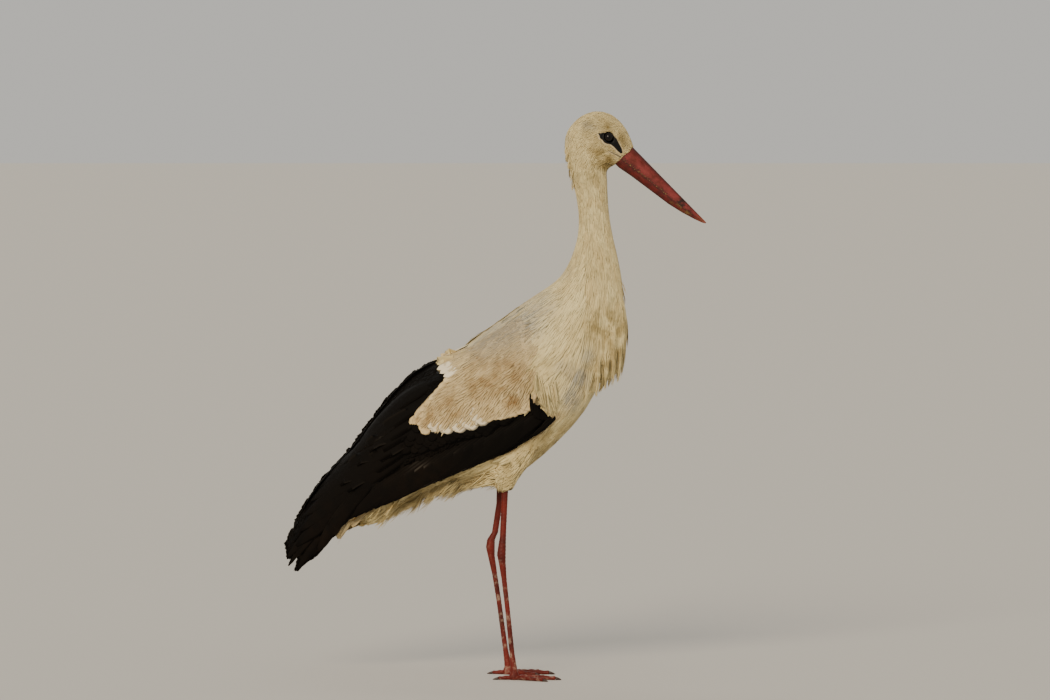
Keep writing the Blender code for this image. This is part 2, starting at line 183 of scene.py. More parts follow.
def rows_of(items, key, wide, kind=float):
    """One value of each of a mesh's vertices, corners or triangles, as the rows of an array."""
    flat = np.empty(len(items) * wide, kind)
    items.foreach_get(key, flat)
    return flat.reshape(-1, wide)


def points_of(piece):
    return rows_of(piece.data.vertices, "co", 3)


def unit(vectors, least=1e-9):
    return vectors / (np.linalg.norm(vectors, axis=-1)[..., None] + least)


class Surface:
    """A closed mesh as arrays, with the nearest point and the smoothed normal at any place."""

    def __init__(self, piece):
        piece.data.calc_loop_triangles()
        self.points = points_of(piece)
        self.triangles = rows_of(piece.data.loop_triangles, "vertices", 3, int)
        self.normals = rows_of(piece.data.vertices, "normal", 3)
        self.tree = BVHTree.FromPolygons(self.points.tolist(), self.triangles.tolist())

    def weights(self, places, faces):
        """How much each corner of its triangle counts at each place."""
        a, b, c = (self.points[self.triangles[faces, k]] for k in range(3))
        whole = np.cross(b - a, c - a)
        area = np.maximum((whole**2).sum(1), 1e-20)
        v = (np.cross(places - a, c - a) * whole).sum(1) / area
        w = (np.cross(b - a, places - a) * whole).sum(1) / area
        return np.clip(np.stack([1 - v - w, v, w], 1), 0, 1)

    def blend(self, values, places, faces):
        mix = self.weights(places, faces)
        return (values[self.triangles[faces]] * mix[:, :, None]).sum(1)

    def nearest(self, places):
        hits = [self.tree.find_nearest(p) for p in places.tolist()]
        spots = np.array([hit[0][:] for hit in hits])
        faces = np.array([hit[2] for hit in hits])
        normals = unit(self.blend(self.normals, spots, faces), 1e-12)
        return spots, normals, faces, np.array([hit[3] for hit in hits])


def along_chain(places, chain):
    """For each stretch of a chain of discs, as seen from the side: how far the places are, and its reach, in mm."""
    spots = places[:, [0, 2]] / MM
    for (x0, z0, r0), (x1, z1, r1) in zip(chain, chain[1:]):
        start, run = np.array((x0, z0)), np.array((x1 - x0, z1 - z0))
        share = np.clip(((spots - start) @ run) / (run @ run), 0, 1)
        yield np.linalg.norm(spots - start - share[:, None] * run, axis=1), r0 + (r1 - r0) * share


FORM_VOXEL = 3.2 * MM
form = fused("outer_form", WHITE_NODES + BLACK_NODES, FORM_VOXEL, 3)
# The head's own relief, as seen from the side: chains of x, z and reach in mm, and how far each stands out.
HEAD_RELIEF = [
    ([(164, 878, 4), (178, 880, 4), (192, 874, 3.5)], 1.0),  # the brow
    ([(189, 858, 4), (198, 848, 3.5)], -0.9),  # the hollow of the lores
    ([(174, 840, 9), (187, 829, 6.5)], 1.4),  # the cheek and jaw
    ([(150, 845, 3), (158, 832, 3), (172, 822, 3.4), (188, 816.5, 2.8)], -4.2),  # the fold below the jaw
    ([(143, 888, 5), (156, 884, 4)], -0.8),  # the dip behind the brow
    ([(181, 843, 1.8), (196, 836, 1.8)], -0.5),  # the gape
]
co = points_of(form)
rise = np.zeros(len(co))
for chain, height in HEAD_RELIEF:
    for gap, reach in along_chain(co, chain):
        one = height * np.exp(-((gap / reach) ** 2))
        rise = np.where(np.abs(one) > np.abs(rise), one, rise) if height < 0 else rise + one * (rise == 0)
# it fades away towards the middle of the head
rise *= np.clip((np.abs(co[:, 1]) / MM - 4) / 6, 0, 1)
form.data.vertices.foreach_set("co", (co + Surface(form).normals * (rise * MM)[:, None]).ravel())
modify(form, "SMOOTH", factor=0.3, iterations=1)
# the solid's locks at the breast's lower edge are melted together: plumes hang there instead
fringe = form.vertex_groups.new(name="fringe")
seen = np.abs(points_of(form) - np.array((0.180, 0, 0.490))) < (0.055, 0.1, 0.050)
fringe.add(np.nonzero(seen.all(1))[0].tolist(), 1.0, "REPLACE")
modify(form, "SMOOTH", factor=0.5, iterations=40, vertex_group="fringe")
outer = Surface(form)

cad_faces, cad_points, cad_node = [], [], []
for node in WHITE_NODES + BLACK_NODES:
    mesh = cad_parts[node].data
    start = len(cad_points)
    cad_points += [v.co[:] for v in mesh.vertices]
    cad_faces += [[start + i for i in face.vertices] for face in mesh.polygons]
    cad_node += [node] * len(mesh.polygons)
cad_tree = BVHTree.FromPolygons(cad_points, cad_faces)


def node_at(places):
    """The name of the solid nearest to each place."""
    return np.array([cad_node[cad_tree.find_nearest(p)[2]] for p in places.tolist()])


# -------- the skin
# One skin over the whole bird: thin and pale under the plumage, dark under the black feathers, bare and black
# round the eye, and thick, red and scaly on the legs and toes. It lies inside the plumage by the coat's depth.

COAT_DEPTH = {"head": 1.3, "neck_upper": 2.2, "neck_lower": 3.2, "breast_plumes": 5.0, "tail": 2.2, "trunk": 4.0}
COAT_DEPTH.update({"thigh": 3.0, "scapulars": 3.0, "coverts": 3.0})
COAT_DEPTH.update({"tertials": 2.2, "secondaries": 2.2, "primaries": 1.8})
# the bare patch round the eye and the fold of the gape, as chains of discs seen from the side: x, z and reach in mm
BARE_PATCH = [(164, 872, 0.6), (171.5, 867.5, 5.9), (180, 864.6, 9.9), (188, 859.5, 6.9)]
BARE_PATCH += [(193.5, 852.5, 5.1), (198, 846, 4.1), (200.5, 842, 2.6)]
GAPE_LINE = [(180, 844, 0.5), (189, 839.5, 0.9), (199.5, 834.3, 1.3)]
# the lower edge of the white coverts, and the outline of all that is white on the wing: x and z in mm
COVERT_EDGE = [
    (-140, 411), (-119, 405), (-92, 394), (-55, 400), (-24, 412), (1, 418), (40, 426), (52, 429), (56, 453),
]
WHITE_WING = [
    *COVERT_EDGE, (66, 437), (78, 427), (92, 417), (110, 430), (120, 520), (60, 600), (-60, 545), (-95, 510),
    (-95, 496), (-75, 490),
]


def within(places, outline):
    """Whether each place lies, seen from the side, inside a closed outline given in mm."""
    x, z = places[:, 0] / MM, places[:, 2] / MM
    inside = np.zeros(len(x), bool)
    for (x0, z0), (x1, z1) in zip(outline, outline[1:] + outline[:1]):
        crossed = (z0 > z) != (z1 > z)
        inside ^= crossed & (x < (x1 - x0) * (z - z0) / (z1 - z0 + 1e-9) + x0)
    return inside


def depth_of(node):
    """How deep the skin lies below the solid's surface."""
    return COAT_DEPTH.get(node, COAT_DEPTH.get(node.rsplit("_", 1)[0], 3.0)) * MM


def outside_chain(places, chain):
    """How far each place is, seen from the side, outside a chain of discs given in mm: below 0 is inside."""
    return np.min([gap - reach for gap, reach in along_chain(places, chain)], axis=0)


# The surface is finer round the eye, where the lids and the bare patch are modelled.
skin = form.copy()
skin.data = form.data.copy()
skin.name = "skin"
bpy.context.scene.collection.objects.link(skin)
use(skin)
FACE = np.array((0.186, 0, 0.858))
near_face = np.abs(points_of(skin) - FACE)
chosen = (near_face[:, 0] < 0.030) & (near_face[:, 2] < 0.026)
bpy.ops.object.mode_set(mode="EDIT")
bpy.ops.mesh.select_all(action="DESELECT")
bpy.ops.object.mode_set(mode="OBJECT")
skin.data.vertices.foreach_set("select", chosen)
for face in skin.data.polygons:
    face.select = all(chosen[i] for i in face.vertices)
bpy.ops.object.mode_set(mode="EDIT")
bpy.ops.mesh.select_mode(type="FACE")
bpy.ops.mesh.subdivide(number_cuts=3, smoothness=0.6)
bpy.ops.object.mode_set(mode="OBJECT")

co = points_of(skin)
spots, normals, faces, gaps = outer.nearest(co)
names = node_at(spots)
depth = np.array([depth_of(name) for name in names])
patch_gap = outside_chain(co, BARE_PATCH)
on_face = (names == "head") & (np.abs(co[:, 1]) > 0.006)
bare = np.clip(1.0 - patch_gap / 2.5, 0, 1) * on_face
depth = depth * (1 - bare) + 0.7 * MM * bare
# The lids: a low rolled rim round the opening, which sinks behind the eyeball inside it, and a crease outside.
EYE = Vector((180.0, 20.6, 866.0)) * MM
OPENING, LID, CREASE = 5.7, 6.4, 8.3  # radii round the eye, in mm
flat = np.stack([(co[:, 0] - EYE.x) / 1.12, co[:, 2] - EYE.z], 1)
ring = np.linalg.norm(flat, axis=1) / MM
lid = np.exp(-(((ring - LID) / 0.9) ** 2)) * on_face
inside = np.clip((OPENING - ring) / 1.2, 0, 1) * on_face
crease = np.exp(-(((ring - CREASE) / 0.5) ** 2)) * on_face
depth += (-0.9 * lid + 5.0 * inside + 0.45 * crease) * MM
co = spots - normals * depth[:, None]
skin.data.vertices.foreach_set("co", co.ravel())
modify(skin, "SMOOTH", factor=0.3, iterations=1)
covered = skin.vertex_groups.new(name="covered")
near_face = np.abs(co - FACE)
open_face = (near_face[:, 0] < 0.036) & (near_face[:, 2] < 0.034)
covered.add(np.flatnonzero(~open_face).tolist(), 1.0, "REPLACE")
modify(skin, "DECIMATE", ratio=0.5, vertex_group="covered", vertex_group_factor=1.0)

legs = fused("legs", LEG_NODES, 1.0 * MM, 2, grow=0.2 * MM)
co = points_of(legs)
normals = Surface(legs).normals
# Overlapping six-sided scales, in rows round the leg and, below TOES_TOP, across the toes. All are in mm.
SCALE_WIDE, SCALE_TALL, TOES_TOP, HOCK, LEG_OUT = 2.5, 2.9, 11, 202, 46
height = co[:, 2] / MM
along = np.where(height > TOES_TOP, height, co[:, 0] / MM * 0.95)
middle = np.where(co[:, 1] > 0, LEG_OUT * MM, -LEG_OUT * MM)
turn = np.arctan2(co[:, 1] - middle, co[:, 0] - np.interp(height, [0, 200, 300], [0.026, 0.001, 0.011]))
across = np.where(height > TOES_TOP, turn * 3.9, co[:, 1] / MM * 0.9)
row = np.floor(along / SCALE_TALL)
u = (across / SCALE_WIDE + 0.5 * (row % 2)) % 1.0 - 0.5
v = along / SCALE_TALL - row - 0.5
groove = np.maximum(np.abs(u) * 2, np.abs(v) * 2) ** 6
hock = np.exp(-(((height - HOCK) / 13) ** 2))
relief = (0.16 - 0.42 * groove) * (1 + 0.5 * hock) * MM
off_floor = np.clip((height - 0.4) / 1.2, 0, 1)
co = co + normals * (relief * off_floor)[:, None]
co[:, 2] = np.maximum(co[:, 2], 0.0)
legs.data.vertices.foreach_set("co", co.ravel())
modify(skin, "BOOLEAN", operation="UNION", solver="MANIFOLD", object=legs)
bpy.data.objects.remove(legs)
skin.data.shade_smooth()

co = points_of(skin)
names = node_at(co)
on_head = names == "head"
FEATHERS_END = 303.5 * MM
black = (np.isin(names, BLACK_NODES) & ~within(co, WHITE_WING)).astype(float)
leg = np.clip((FEATHERS_END - co[:, 2]) / 0.002, 0, 1) * (np.abs(co[:, 0] - 0.03) < 0.09)
patch = np.clip(0.5 - outside_chain(co, BARE_PATCH) / 1.2, 0, 1) * on_head
patch = np.maximum(patch, np.clip(0.5 - outside_chain(co, GAPE_LINE) / 0.8, 0, 1) * on_head * 0.8)
marks = np.stack([black, leg, patch, np.ones(len(co))], 1)
layer = skin.data.color_attributes.new("Markings", "FLOAT_COLOR", "POINT")
layer.data.foreach_set("color", marks.ravel())

# Skin and horny scales, dull as old leather: cream under the white plumage, black on the face, and on the legs a
# deep red that is worn paler here and there, with a thin chalky crust below. The mottling is about 6 mm across,
# the blotches 35 mm, the crust's specks 11 mm and the wrinkles 1 mm.
leather, tree = new_material("bird_skin_and_leg_scales")
place = add(tree, "TexCoord").outputs["Object"]
marks = add(tree, "SeparateColor", {0: add(tree, "Attribute", attribute_name="Markings")}).outputs
mottle = add(tree, "TexNoise", {"Vector": place, "Scale": 160, "Detail": 6, "Roughness": 0.65})
blotch = add(tree, "TexNoise", {"Vector": place, "Scale": 28, "Detail": 4})
chalk = add(tree, "TexNoise", {"Vector": place, "Scale": 90, "Detail": 7, "Roughness": 0.7})
deep = add(tree, "MapRange", {0: blotch, 1: 0.38, 2: 0.62})
worn = add(tree, "MapRange", {0: mottle, 1: 0.55, 2: 0.8})
chalk = add(tree, "MapRange", {0: chalk, 1: 0.52, 2: 0.66, 4: 0.55})
low = add(tree, "MapRange", {0: add(tree, "SeparateXYZ", {0: place}).outputs["Z"], 1: 0.23, 2: 0.14})
chalk = add(tree, "Math", {0: chalk, 1: low}, operation="MULTIPLY")
red, under = "#48100A", "#E6D6AF"
for share, over in ((deep, "#6C1E14"), (worn, "#84402F"), (chalk, "#B09C86")):
    red = add(tree, "Mix", {0: share, 6: red, 7: over}, data_type="RGBA")
for share, over in ((mottle, "#CDB88C"), (marks[0], "#0D0B0A"), (marks[1], red), (marks[2], "#020202")):
    under = add(tree, "Mix", {0: share, 6: under, 7: over}, data_type="RGBA")
wrinkle = add(tree, "TexVoronoi", {"Vector": place, "Scale": 900}, feature="DISTANCE_TO_EDGE")
bump = add(tree, "Bump", {"Height": wrinkle, "Strength": 0.35, "Distance": 0.0003})
dull = {"Base Color": under, "Roughness": 0.55, "Normal": bump, "Specular IOR Level": 0.25}
end_material(tree, add(tree, "BsdfPrincipled", dull))
skin.data.materials.clear()
skin.data.materials.append(leather)
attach(skin, "root")
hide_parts(*WHITE_NODES, *BLACK_NODES, *LEG_NODES)

# -------- the eyes
# Each eye is a wet ball in its socket: a black pupil in a very dark brown iris under a clear, bulging cornea,
# held by the black lids. The two are alike, and are turned a little forward.

EYE_RADIUS = 8.35
PUPIL, IRIS = (2.4, 2.7), (4.6, 5.4)  # where the edge of each begins and ends, from the middle of the cornea, in mm

for side, sign in SIDES:
    centre = Vector((EYE.x, EYE.y * sign, EYE.z))
    bpy.ops.object.select_all(action="DESELECT")
    bpy.ops.mesh.primitive_uv_sphere_add(segments=48, ring_count=32, radius=EYE_RADIUS * MM, location=(0, 0, 0))
    eye = bpy.context.object
    eye.name = f"eyeball_{side}"
    co = points_of(eye)
    # the cornea bulges round the pole that looks out
    polar = np.degrees(np.arccos(np.clip(co[:, 2] / (EYE_RADIUS * MM), -1, 1)))
    co *= (1 + 0.055 * np.exp(-((polar / 30.0) ** 2)))[:, None]
    gaze = Vector((0.12, sign, 0.02)).to_track_quat("Z", "Y").to_matrix()
    co = co @ np.array(gaze).T + np.array(centre)
    eye.data.vertices.foreach_set("co", co.ravel())
    eye.data.shade_smooth()
    # A wet, living eye: nearly black, with fine rays 0.7 mm apart, and smooth enough to hold one sharp glint.
    wet, tree = new_material(f"wet_eye_{side}")
    place = add(tree, "TexCoord").outputs["Object"]
    pupil = centre + gaze @ Vector((0, 0, 8.4 * MM))
    away = add(tree, "VectorMath", {0: place, 1: tuple(pupil)}, operation="DISTANCE")
    rays = add(tree, "TexNoise", {"Vector": place, "Scale": 1400, "Detail": 3})
    iris = add(tree, "Mix", {0: rays, 6: "#080504", 7: "#150D08"}, data_type="RGBA")
    edge = add(tree, "MapRange", {0: away, 1: PUPIL[0] * MM, 2: PUPIL[1] * MM})
    iris = add(tree, "Mix", {0: edge, 6: "#010101", 7: iris}, data_type="RGBA")
    edge = add(tree, "MapRange", {0: away, 1: IRIS[0] * MM, 2: IRIS[1] * MM})
    iris = add(tree, "Mix", {0: edge, 6: iris, 7: "#030202"}, data_type="RGBA")
    glossy = {"Base Color": iris, "Roughness": 0.05, "Specular IOR Level": 0.25}
    end_material(tree, add(tree, "BsdfPrincipled", glossy))
    eye.data.materials.append(wet)
    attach(eye, "root")
    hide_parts(f"eye_{side}")

# -------- the bill
# Two long sheaths of red horn over bone, which meet in a fine seam. The upper one has a ridge and a nostril
# slit near its base. The horn is worn: scratched, stained dark past the middle, and orange at the tip.

CULMEN, CHIN, BILL_TIP = Vector((221.0, 0, 847.0)), Vector((192.5, 0, 820.5)), Vector((337.0, 0, 729.0))
BILL_ALONG = (BILL_TIP - (CULMEN + CHIN) / 2).normalized()
BILL_DOWN = Vector((BILL_ALONG.z, 0, -BILL_ALONG.x))
# shares of the length, and the bill's depth, half its width and the height of the seam there, in mm and a share
BILL_SHARES = [0.0, 0.15, 0.35, 0.6, 0.76, 0.89, 0.97, 1.0]
BILL_DEPTHS = [38.6, 33.8, 28.8, 22.6, 16.4, 9.8, 4.9, 2.0]
BILL_HALVES = [13.2, 11.4, 9.3, 7.0, 5.2, 3.5, 2.0, 0.9]
SEAM_SHARES = [0.64, 0.62, 0.6, 0.58, 0.57, 0.56, 0.55, 0.55]


def bill_half(name, upper):
    """A sheath bent from a fine grid: round outside, closed flat at the seam where the halves meet."""
    bpy.ops.object.select_all(action="DESELECT")
    bpy.ops.mesh.primitive_grid_add(x_subdivisions=40, y_subdivisions=90, size=2)
    sheath = bpy.context.object
    sheath.name = name
    grid = points_of(sheath)
    turn, share = (grid[:, 0] + 1) / 2 * math.pi, (grid[:, 1] + 1) / 2
    # rings crowd to the tip, and the first ones run back into the head
    share = share**0.9 * 1.06 - 0.06
    held = np.clip(share, 0, 1)
    depth = np.interp(held, BILL_SHARES, BILL_DEPTHS)
    half = np.interp(held, BILL_SHARES, BILL_HALVES)
    seam = np.interp(held, BILL_SHARES, SEAM_SHARES) * depth
    culmen = np.array(CULMEN) + (np.array(BILL_TIP) - np.array(CULMEN)) * share[:, None]
    # from one edge over the outside to the other
    side, rise = np.cos(turn), np.sin(turn)
    if upper:
        shape = np.sign(side) * np.abs(side) ** 0.85 * half * (1 + 0.05 * rise)
        ridge = 0.5 * np.exp(-((side / 0.16) ** 2)) * (1 - held)
        down = seam * (1 - rise**0.8) - 0.05 - ridge
        # the nostril's slit, and the groove that it lies in
        slit = np.exp(-(((share - 0.15) / 0.055) ** 2)) * np.exp(-(((rise - 0.66) / 0.06) ** 2))
        groove = np.exp(-(((rise - 0.62) / 0.05) ** 2)) * np.clip(1 - share / 0.45, 0, 1)
        shape = shape * (1 - 0.16 * slit) * (1 - 0.035 * groove)
    else:
        shape = np.sign(side) * np.abs(side) ** 0.8 * half * (0.98 - 0.06 * rise)
        down = seam + (depth - seam) * rise**0.75 + 0.05
        shape = shape * (1 - 0.04 * np.exp(-(((rise - 0.55) / 0.08) ** 2)) * (1 - held))
    # the horn's own unevenness
    wave = 0.1 * np.sin(share * 61.0 + side * 2.0) + 0.07 * np.sin(share * 143.0 + 1.7)
    places = culmen + np.array(BILL_DOWN) * down[:, None]
    places[:, 1] = shape + np.sign(shape) * wave * 0.5 * np.clip(rise, 0, 1)
    sheath.data.vertices.foreach_set("co", (places * MM).ravel())
    closed = bmesh.new()
    closed.from_mesh(sheath.data)
    # the open ends and the flat side are filled
    bmesh.ops.holes_fill(closed, edges=[e for e in closed.edges if e.is_boundary])
    bmesh.ops.triangulate(closed, faces=[f for f in closed.faces if len(f.verts) > 4])
    bmesh.ops.recalc_face_normals(closed, faces=closed.faces)
    closed.to_mesh(sheath.data)
    closed.free()
    use(sheath)
    bpy.ops.object.shade_smooth_by_angle(angle=math.radians(50))
    return sheath


# Keratin over bone, half polished by use: blotched red, with fibres along it about 1 mm apart, blotches 13 mm and
# pits 2 mm across. Each half has its own light and dark red, and its own dirt past the middle.
for node, top, low, dirt in (
    ("bill_upper", "#823232", "#5A1B12", "#1E120D"),
    ("bill_lower", "#661A16", "#3C0D08", "#6A5028"),
):
    sheath = bill_half(f"{node}_sheath", node == "bill_upper")
    horn, tree = new_material(f"{node}_horn")
    place = add(tree, "TexCoord").outputs["Object"]
    # across the sheath from edge to edge, and along it from the face to the tip
    spot = add(tree, "SeparateXYZ", {0: add(tree, "UVMap", uv_map="UVMap")})
    across, run = spot.outputs["X"], spot.outputs["Y"]
    edge = add(tree, "Math", {0: across, 1: 0.5}, operation="SUBTRACT")
    edge = add(tree, "Math", {0: edge}, operation="ABSOLUTE")
    lines = add(tree, "CombineXYZ", {"X": across, "Y": run})
    lines = add(tree, "Mapping", {"Vector": lines, "Scale": (70, 7, 1)})
    fibre = add(tree, "TexNoise", {"Vector": lines, "Scale": 1, "Detail": 5, "Roughness": 0.6})
    blotch = add(tree, "TexNoise", {"Vector": place, "Scale": 75, "Detail": 6, "Roughness": 0.7})
    pits = add(tree, "TexNoise", {"Vector": place, "Scale": 420, "Detail": 4, "Roughness": 0.7})
    band = add(tree, "Math", {0: run, 1: 0.71}, operation="SUBTRACT")
    band = add(tree, "Math", {0: band}, operation="ABSOLUTE")
    band = add(tree, "Math", {0: band, 1: blotch}, operation="ADD")
    grime = add(tree, "Math", {0: edge, 1: 3.0, 2: pits}, operation="MULTIPLY_ADD")
    colour = low
    # each layer's guide, where it begins and ends on it, its share at each, and its colour
    for guide, begin, end, least, most, over in (
        (blotch, 0.35, 0.65, 0.0, 1.0, top),
        (fibre, 0.55, 0.85, 0.0, 0.6, "#925246"),
        (fibre, 0.45, 0.25, 0.0, 0.5, "#3E120C"),
        # painted shade: the top of the upper half and the underside of the lower half are darkened
        (edge, 0.27, 0.09, 0.0, 0.88, "#3A110C"),  # darker along the ridge above and the keel below
        (run, 0.86, 0.99, 0.0, 1.0, "#84422A"),  # orange horn towards the tip
        (band, 0.46, 0.57, 0.85, 0.0, dirt),  # a dirty band past the middle
        (grime, 1.85, 2.05, 0.0, 0.9, "#2A100B"),  # grime and pale specks along the edges that meet
        (grime, 2.06, 2.12, 0.0, 0.9, "#B08A50"),
        (pits, 0.64, 0.72, 0.0, 0.8, "#2E100B"),
    ):
        share = add(tree, "MapRange", {0: guide, 1: begin, 2: end, 3: least, 4: most})
        colour = add(tree, "Mix", {0: share, 6: colour, 7: over}, data_type="RGBA")
    bump = add(tree, "Bump", {"Height": fibre, "Strength": 0.35, "Distance": 0.0004})
    bump = add(tree, "Bump", {"Height": pits, "Strength": 0.35, "Distance": 0.0003, "Normal": bump})
    rough = add(tree, "MapRange", {0: blotch, 1: 0.3, 2: 0.7, 3: 0.5, 4: 0.7})
    shiny = {"Base Color": colour, "Roughness": rough, "Specular IOR Level": 0.3, "Normal": bump}
    end_material(tree, add(tree, "BsdfPrincipled", shiny))
    sheath.data.materials.append(horn)
    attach(sheath, "root")
    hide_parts(node)

# -------- the claws
# Short, blunt claws of dark horn on the end of each toe, worn flat where they meet the floor.

# Dark keratin, smoother than the scales, with a fine grain of 1.4 mm: it catches a small, soft shine.
claw_horn, tree = new_material("claw_horn")
place = add(tree, "TexCoord").outputs["Object"]
grain = add(tree, "TexNoise", {"Vector": place, "Scale": 700, "Detail": 4})
colour = add(tree, "Mix", {0: grain, 6: "#1E100C", 7: "#472A1F"}, data_type="RGBA")
bump = add(tree, "Bump", {"Height": grain, "Strength": 0.3, "Distance": 0.0003})
end_material(tree, add(tree, "BsdfPrincipled", {"Base Color": colour, "Roughness": 0.4, "Normal": bump}))
for side, sign in SIDES:
    nodes = [f"claw_{toe}_{side}" for toe in ("inner", "middle", "outer", "hind")]
    claws = joined_copy(f"claws_{side}", nodes, 0.35 * MM)
    modify(claws, "SUBSURF", levels=2, render_levels=2)
    co = points_of(claws)
    co[:, 2] = np.maximum(co[:, 2], 0.0)
    claws.data.vertices.foreach_set("co", co.ravel())
    claws.data.shade_smooth()
    claws.data.materials.append(claw_horn)
    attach(claws, "root")
    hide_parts(*nodes)

# -------- the lie of the plumage
# Every feather is a thin closed vane: rooted at the skin, carried back over the next ones like a roof tile,
# and a little raised at its tip. The list gives, place by place as seen from the side, which way the feathers
# lie, how far apart they stand, how long and wide they are, and how far their tips stand out.

# x and z; the way they lie, along x and z; spacing, length, width and lift: all but the way in mm
LIE = np.array([
    (216, 858, -0.45, 0.89, 1.5, 4.5, 1.5, 0.1), (203, 880, -0.7, 0.71, 1.6, 5.5, 1.7, 0.12),
    (184, 898, -0.92, 0.38, 1.7, 7, 1.9, 0.15), (160, 905, -1, -0.05, 1.8, 9, 2.1, 0.2),
    (135, 897, -0.8, -0.6, 2, 11, 2.3, 0.35), (114, 866, -0.15, -0.99, 2.2, 14, 2.4, 0.9),
    (206, 848, -0.75, -0.25, 1.4, 3.8, 1.4, 0.1), (196, 868, -0.85, 0.45, 1.5, 4.5, 1.5, 0.1),
    (180, 884, -0.98, 0.12, 1.6, 6, 1.8, 0.15), (180, 850, -0.93, -0.35, 1.6, 5, 1.6, 0.15),
    (193, 828, -0.9, -0.42, 1.5, 5, 1.6, 0.2), (172, 832, -0.86, -0.5, 1.7, 7.5, 1.9, 0.4),
    (150, 868, -0.86, -0.5, 1.9, 8.5, 2.1, 0.25), (142, 838, -0.45, -0.89, 2.1, 13, 2.3, 0.5),
    (118, 825, -0.05, -1, 2.3, 17, 2.5, 1.4), (172, 805, -0.04, -1, 2.2, 14, 2.3, 0.5),
    (150, 780, 0.05, -1, 2.3, 18, 2.5, 0.5), (122, 780, 0.08, -1, 2.4, 20, 2.6, 1.2),
    (156, 730, 0.05, -1, 2.5, 22, 2.7, 0.5), (135, 700, -0.1, -0.99, 2.7, 24, 3, 0.6),
    (185, 690, 0.12, -0.99, 2.7, 26, 3, 0.7), (200, 625, 0.06, -1, 3.1, 38, 3.6, 1.2),
    (160, 630, 0.02, -1, 3.2, 36, 3.8, 0.8), (118, 655, -0.5, -0.87, 3.2, 28, 4, 0.5),
    (206, 560, 0, -1, 3.6, 50, 4.2, 1.6), (175, 560, -0.1, -0.99, 3.6, 46, 4.4, 1.2),
    (130, 600, -0.42, -0.91, 3.8, 34, 5, 0.6), (80, 614, -0.78, -0.62, 4.2, 28, 6.5, 0.4),
    (30, 582, -0.84, -0.55, 5.2, 32, 11, 0.4), (-40, 535, -0.84, -0.54, 6, 38, 15, 0.5),
    (100, 540, -0.55, -0.83, 4.6, 32, 7.5, 0.4), (150, 500, -0.3, -0.95, 4, 36, 5, 0.9),
    (130, 440, -0.58, -0.81, 3.8, 32, 5, 0.7), (90, 385, -0.72, -0.69, 3.8, 30, 5, 0.7),
    (50, 345, -0.6, -0.8, 3.6, 26, 4.4, 0.8), (0, 325, -0.88, -0.48, 3.8, 32, 4.6, 1.6),
    (-60, 305, -0.9, -0.43, 4, 40, 5, 2.6), (-130, 285, -0.84, -0.54, 4.2, 42, 5.6, 2.6),
    (-185, 255, -0.76, -0.65, 4.6, 42, 7, 2), (-225, 245, -0.68, -0.73, 6, 40, 10, 0.8),
    (70, 500, -0.66, -0.75, 5.2, 26, 9.5, 0.4), (82, 450, -0.25, -0.97, 5.4, 27, 10, 0.4),
    (50, 455, -0.5, -0.87, 5.8, 29, 12, 0.4), (10, 490, -0.8, -0.6, 6, 30, 13, 0.4),
    (0, 440, -0.56, -0.83, 6.4, 33, 15, 0.45), (-60, 470, -0.84, -0.54, 6.6, 34, 15, 0.45),
    (-60, 420, -0.58, -0.81, 6.6, 34, 16, 0.45), (-120, 415, -0.64, -0.77, 6.6, 36, 16, 0.45),
    (-15, 410, -0.52, -0.85, 6.6, 34, 16, 0.45), (-75, 395, -0.52, -0.85, 6.6, 34, 16, 0.45),
    (0, 380, -0.87, -0.49, 8, 48, 20, 0.5), (-150, 320, -0.82, -0.57, 9, 60, 20, 0.5),
    (-170, 420, -0.64, -0.77, 9, 60, 20, 0.5), (-290, 260, -0.6, -0.8, 9, 60, 16, 0.5),
])


def lie_at(places):
    """The list's values at each place: the nearest rows count by far the most."""
    spots = places[:, [0, 2]] / MM
    away = ((spots[:, None, :] - LIE[None, :, :2]) ** 2).sum(2) + 9.0
    share = away**-2.5
    share /= share.sum(1)[:, None]
    return share @ LIE[:, 2:]


def run_at(places, normals, spin):
    """The way feathers run at each place: along the surface, turned by each one's own small angle."""
    row = lie_at(places)
    run = np.stack([row[:, 0], np.zeros(len(row)), row[:, 1]], 1)
    run = unit(run - normals * (run * normals).sum(1)[:, None])
    side = np.cross(normals, run)
    return run * np.cos(spin)[:, None] + side * np.sin(spin)[:, None]


# A coarse copy of the form, unwrapped, gives each root its place for the baked colours.
chart = form.copy()
chart.data = form.data.copy()
bpy.context.scene.collection.objects.link(chart)
modify(chart, "REMESH", mode="VOXEL", voxel_size=9 * MM)
modify(chart, "TRIANGULATE")
use(chart)
bpy.ops.object.mode_set(mode="EDIT")
bpy.ops.mesh.select_all(action="SELECT")
bpy.ops.uv.smart_project(angle_limit=math.radians(66), island_margin=0.004)
bpy.ops.object.mode_set(mode="OBJECT")
chart_surface = Surface(chart)
chart_uv = rows_of(chart.data.uv_layers.active.data, "uv", 2).reshape(-1, 3, 2)
bpy.data.objects.remove(chart)
BAKE_PATCH = 0.003  # how wide each feather's own patch is on that map


# a feather lies on the form up to the first of these gaps, and is free of it from the second, in mm
HELD, FREE = 1.5, 5.5


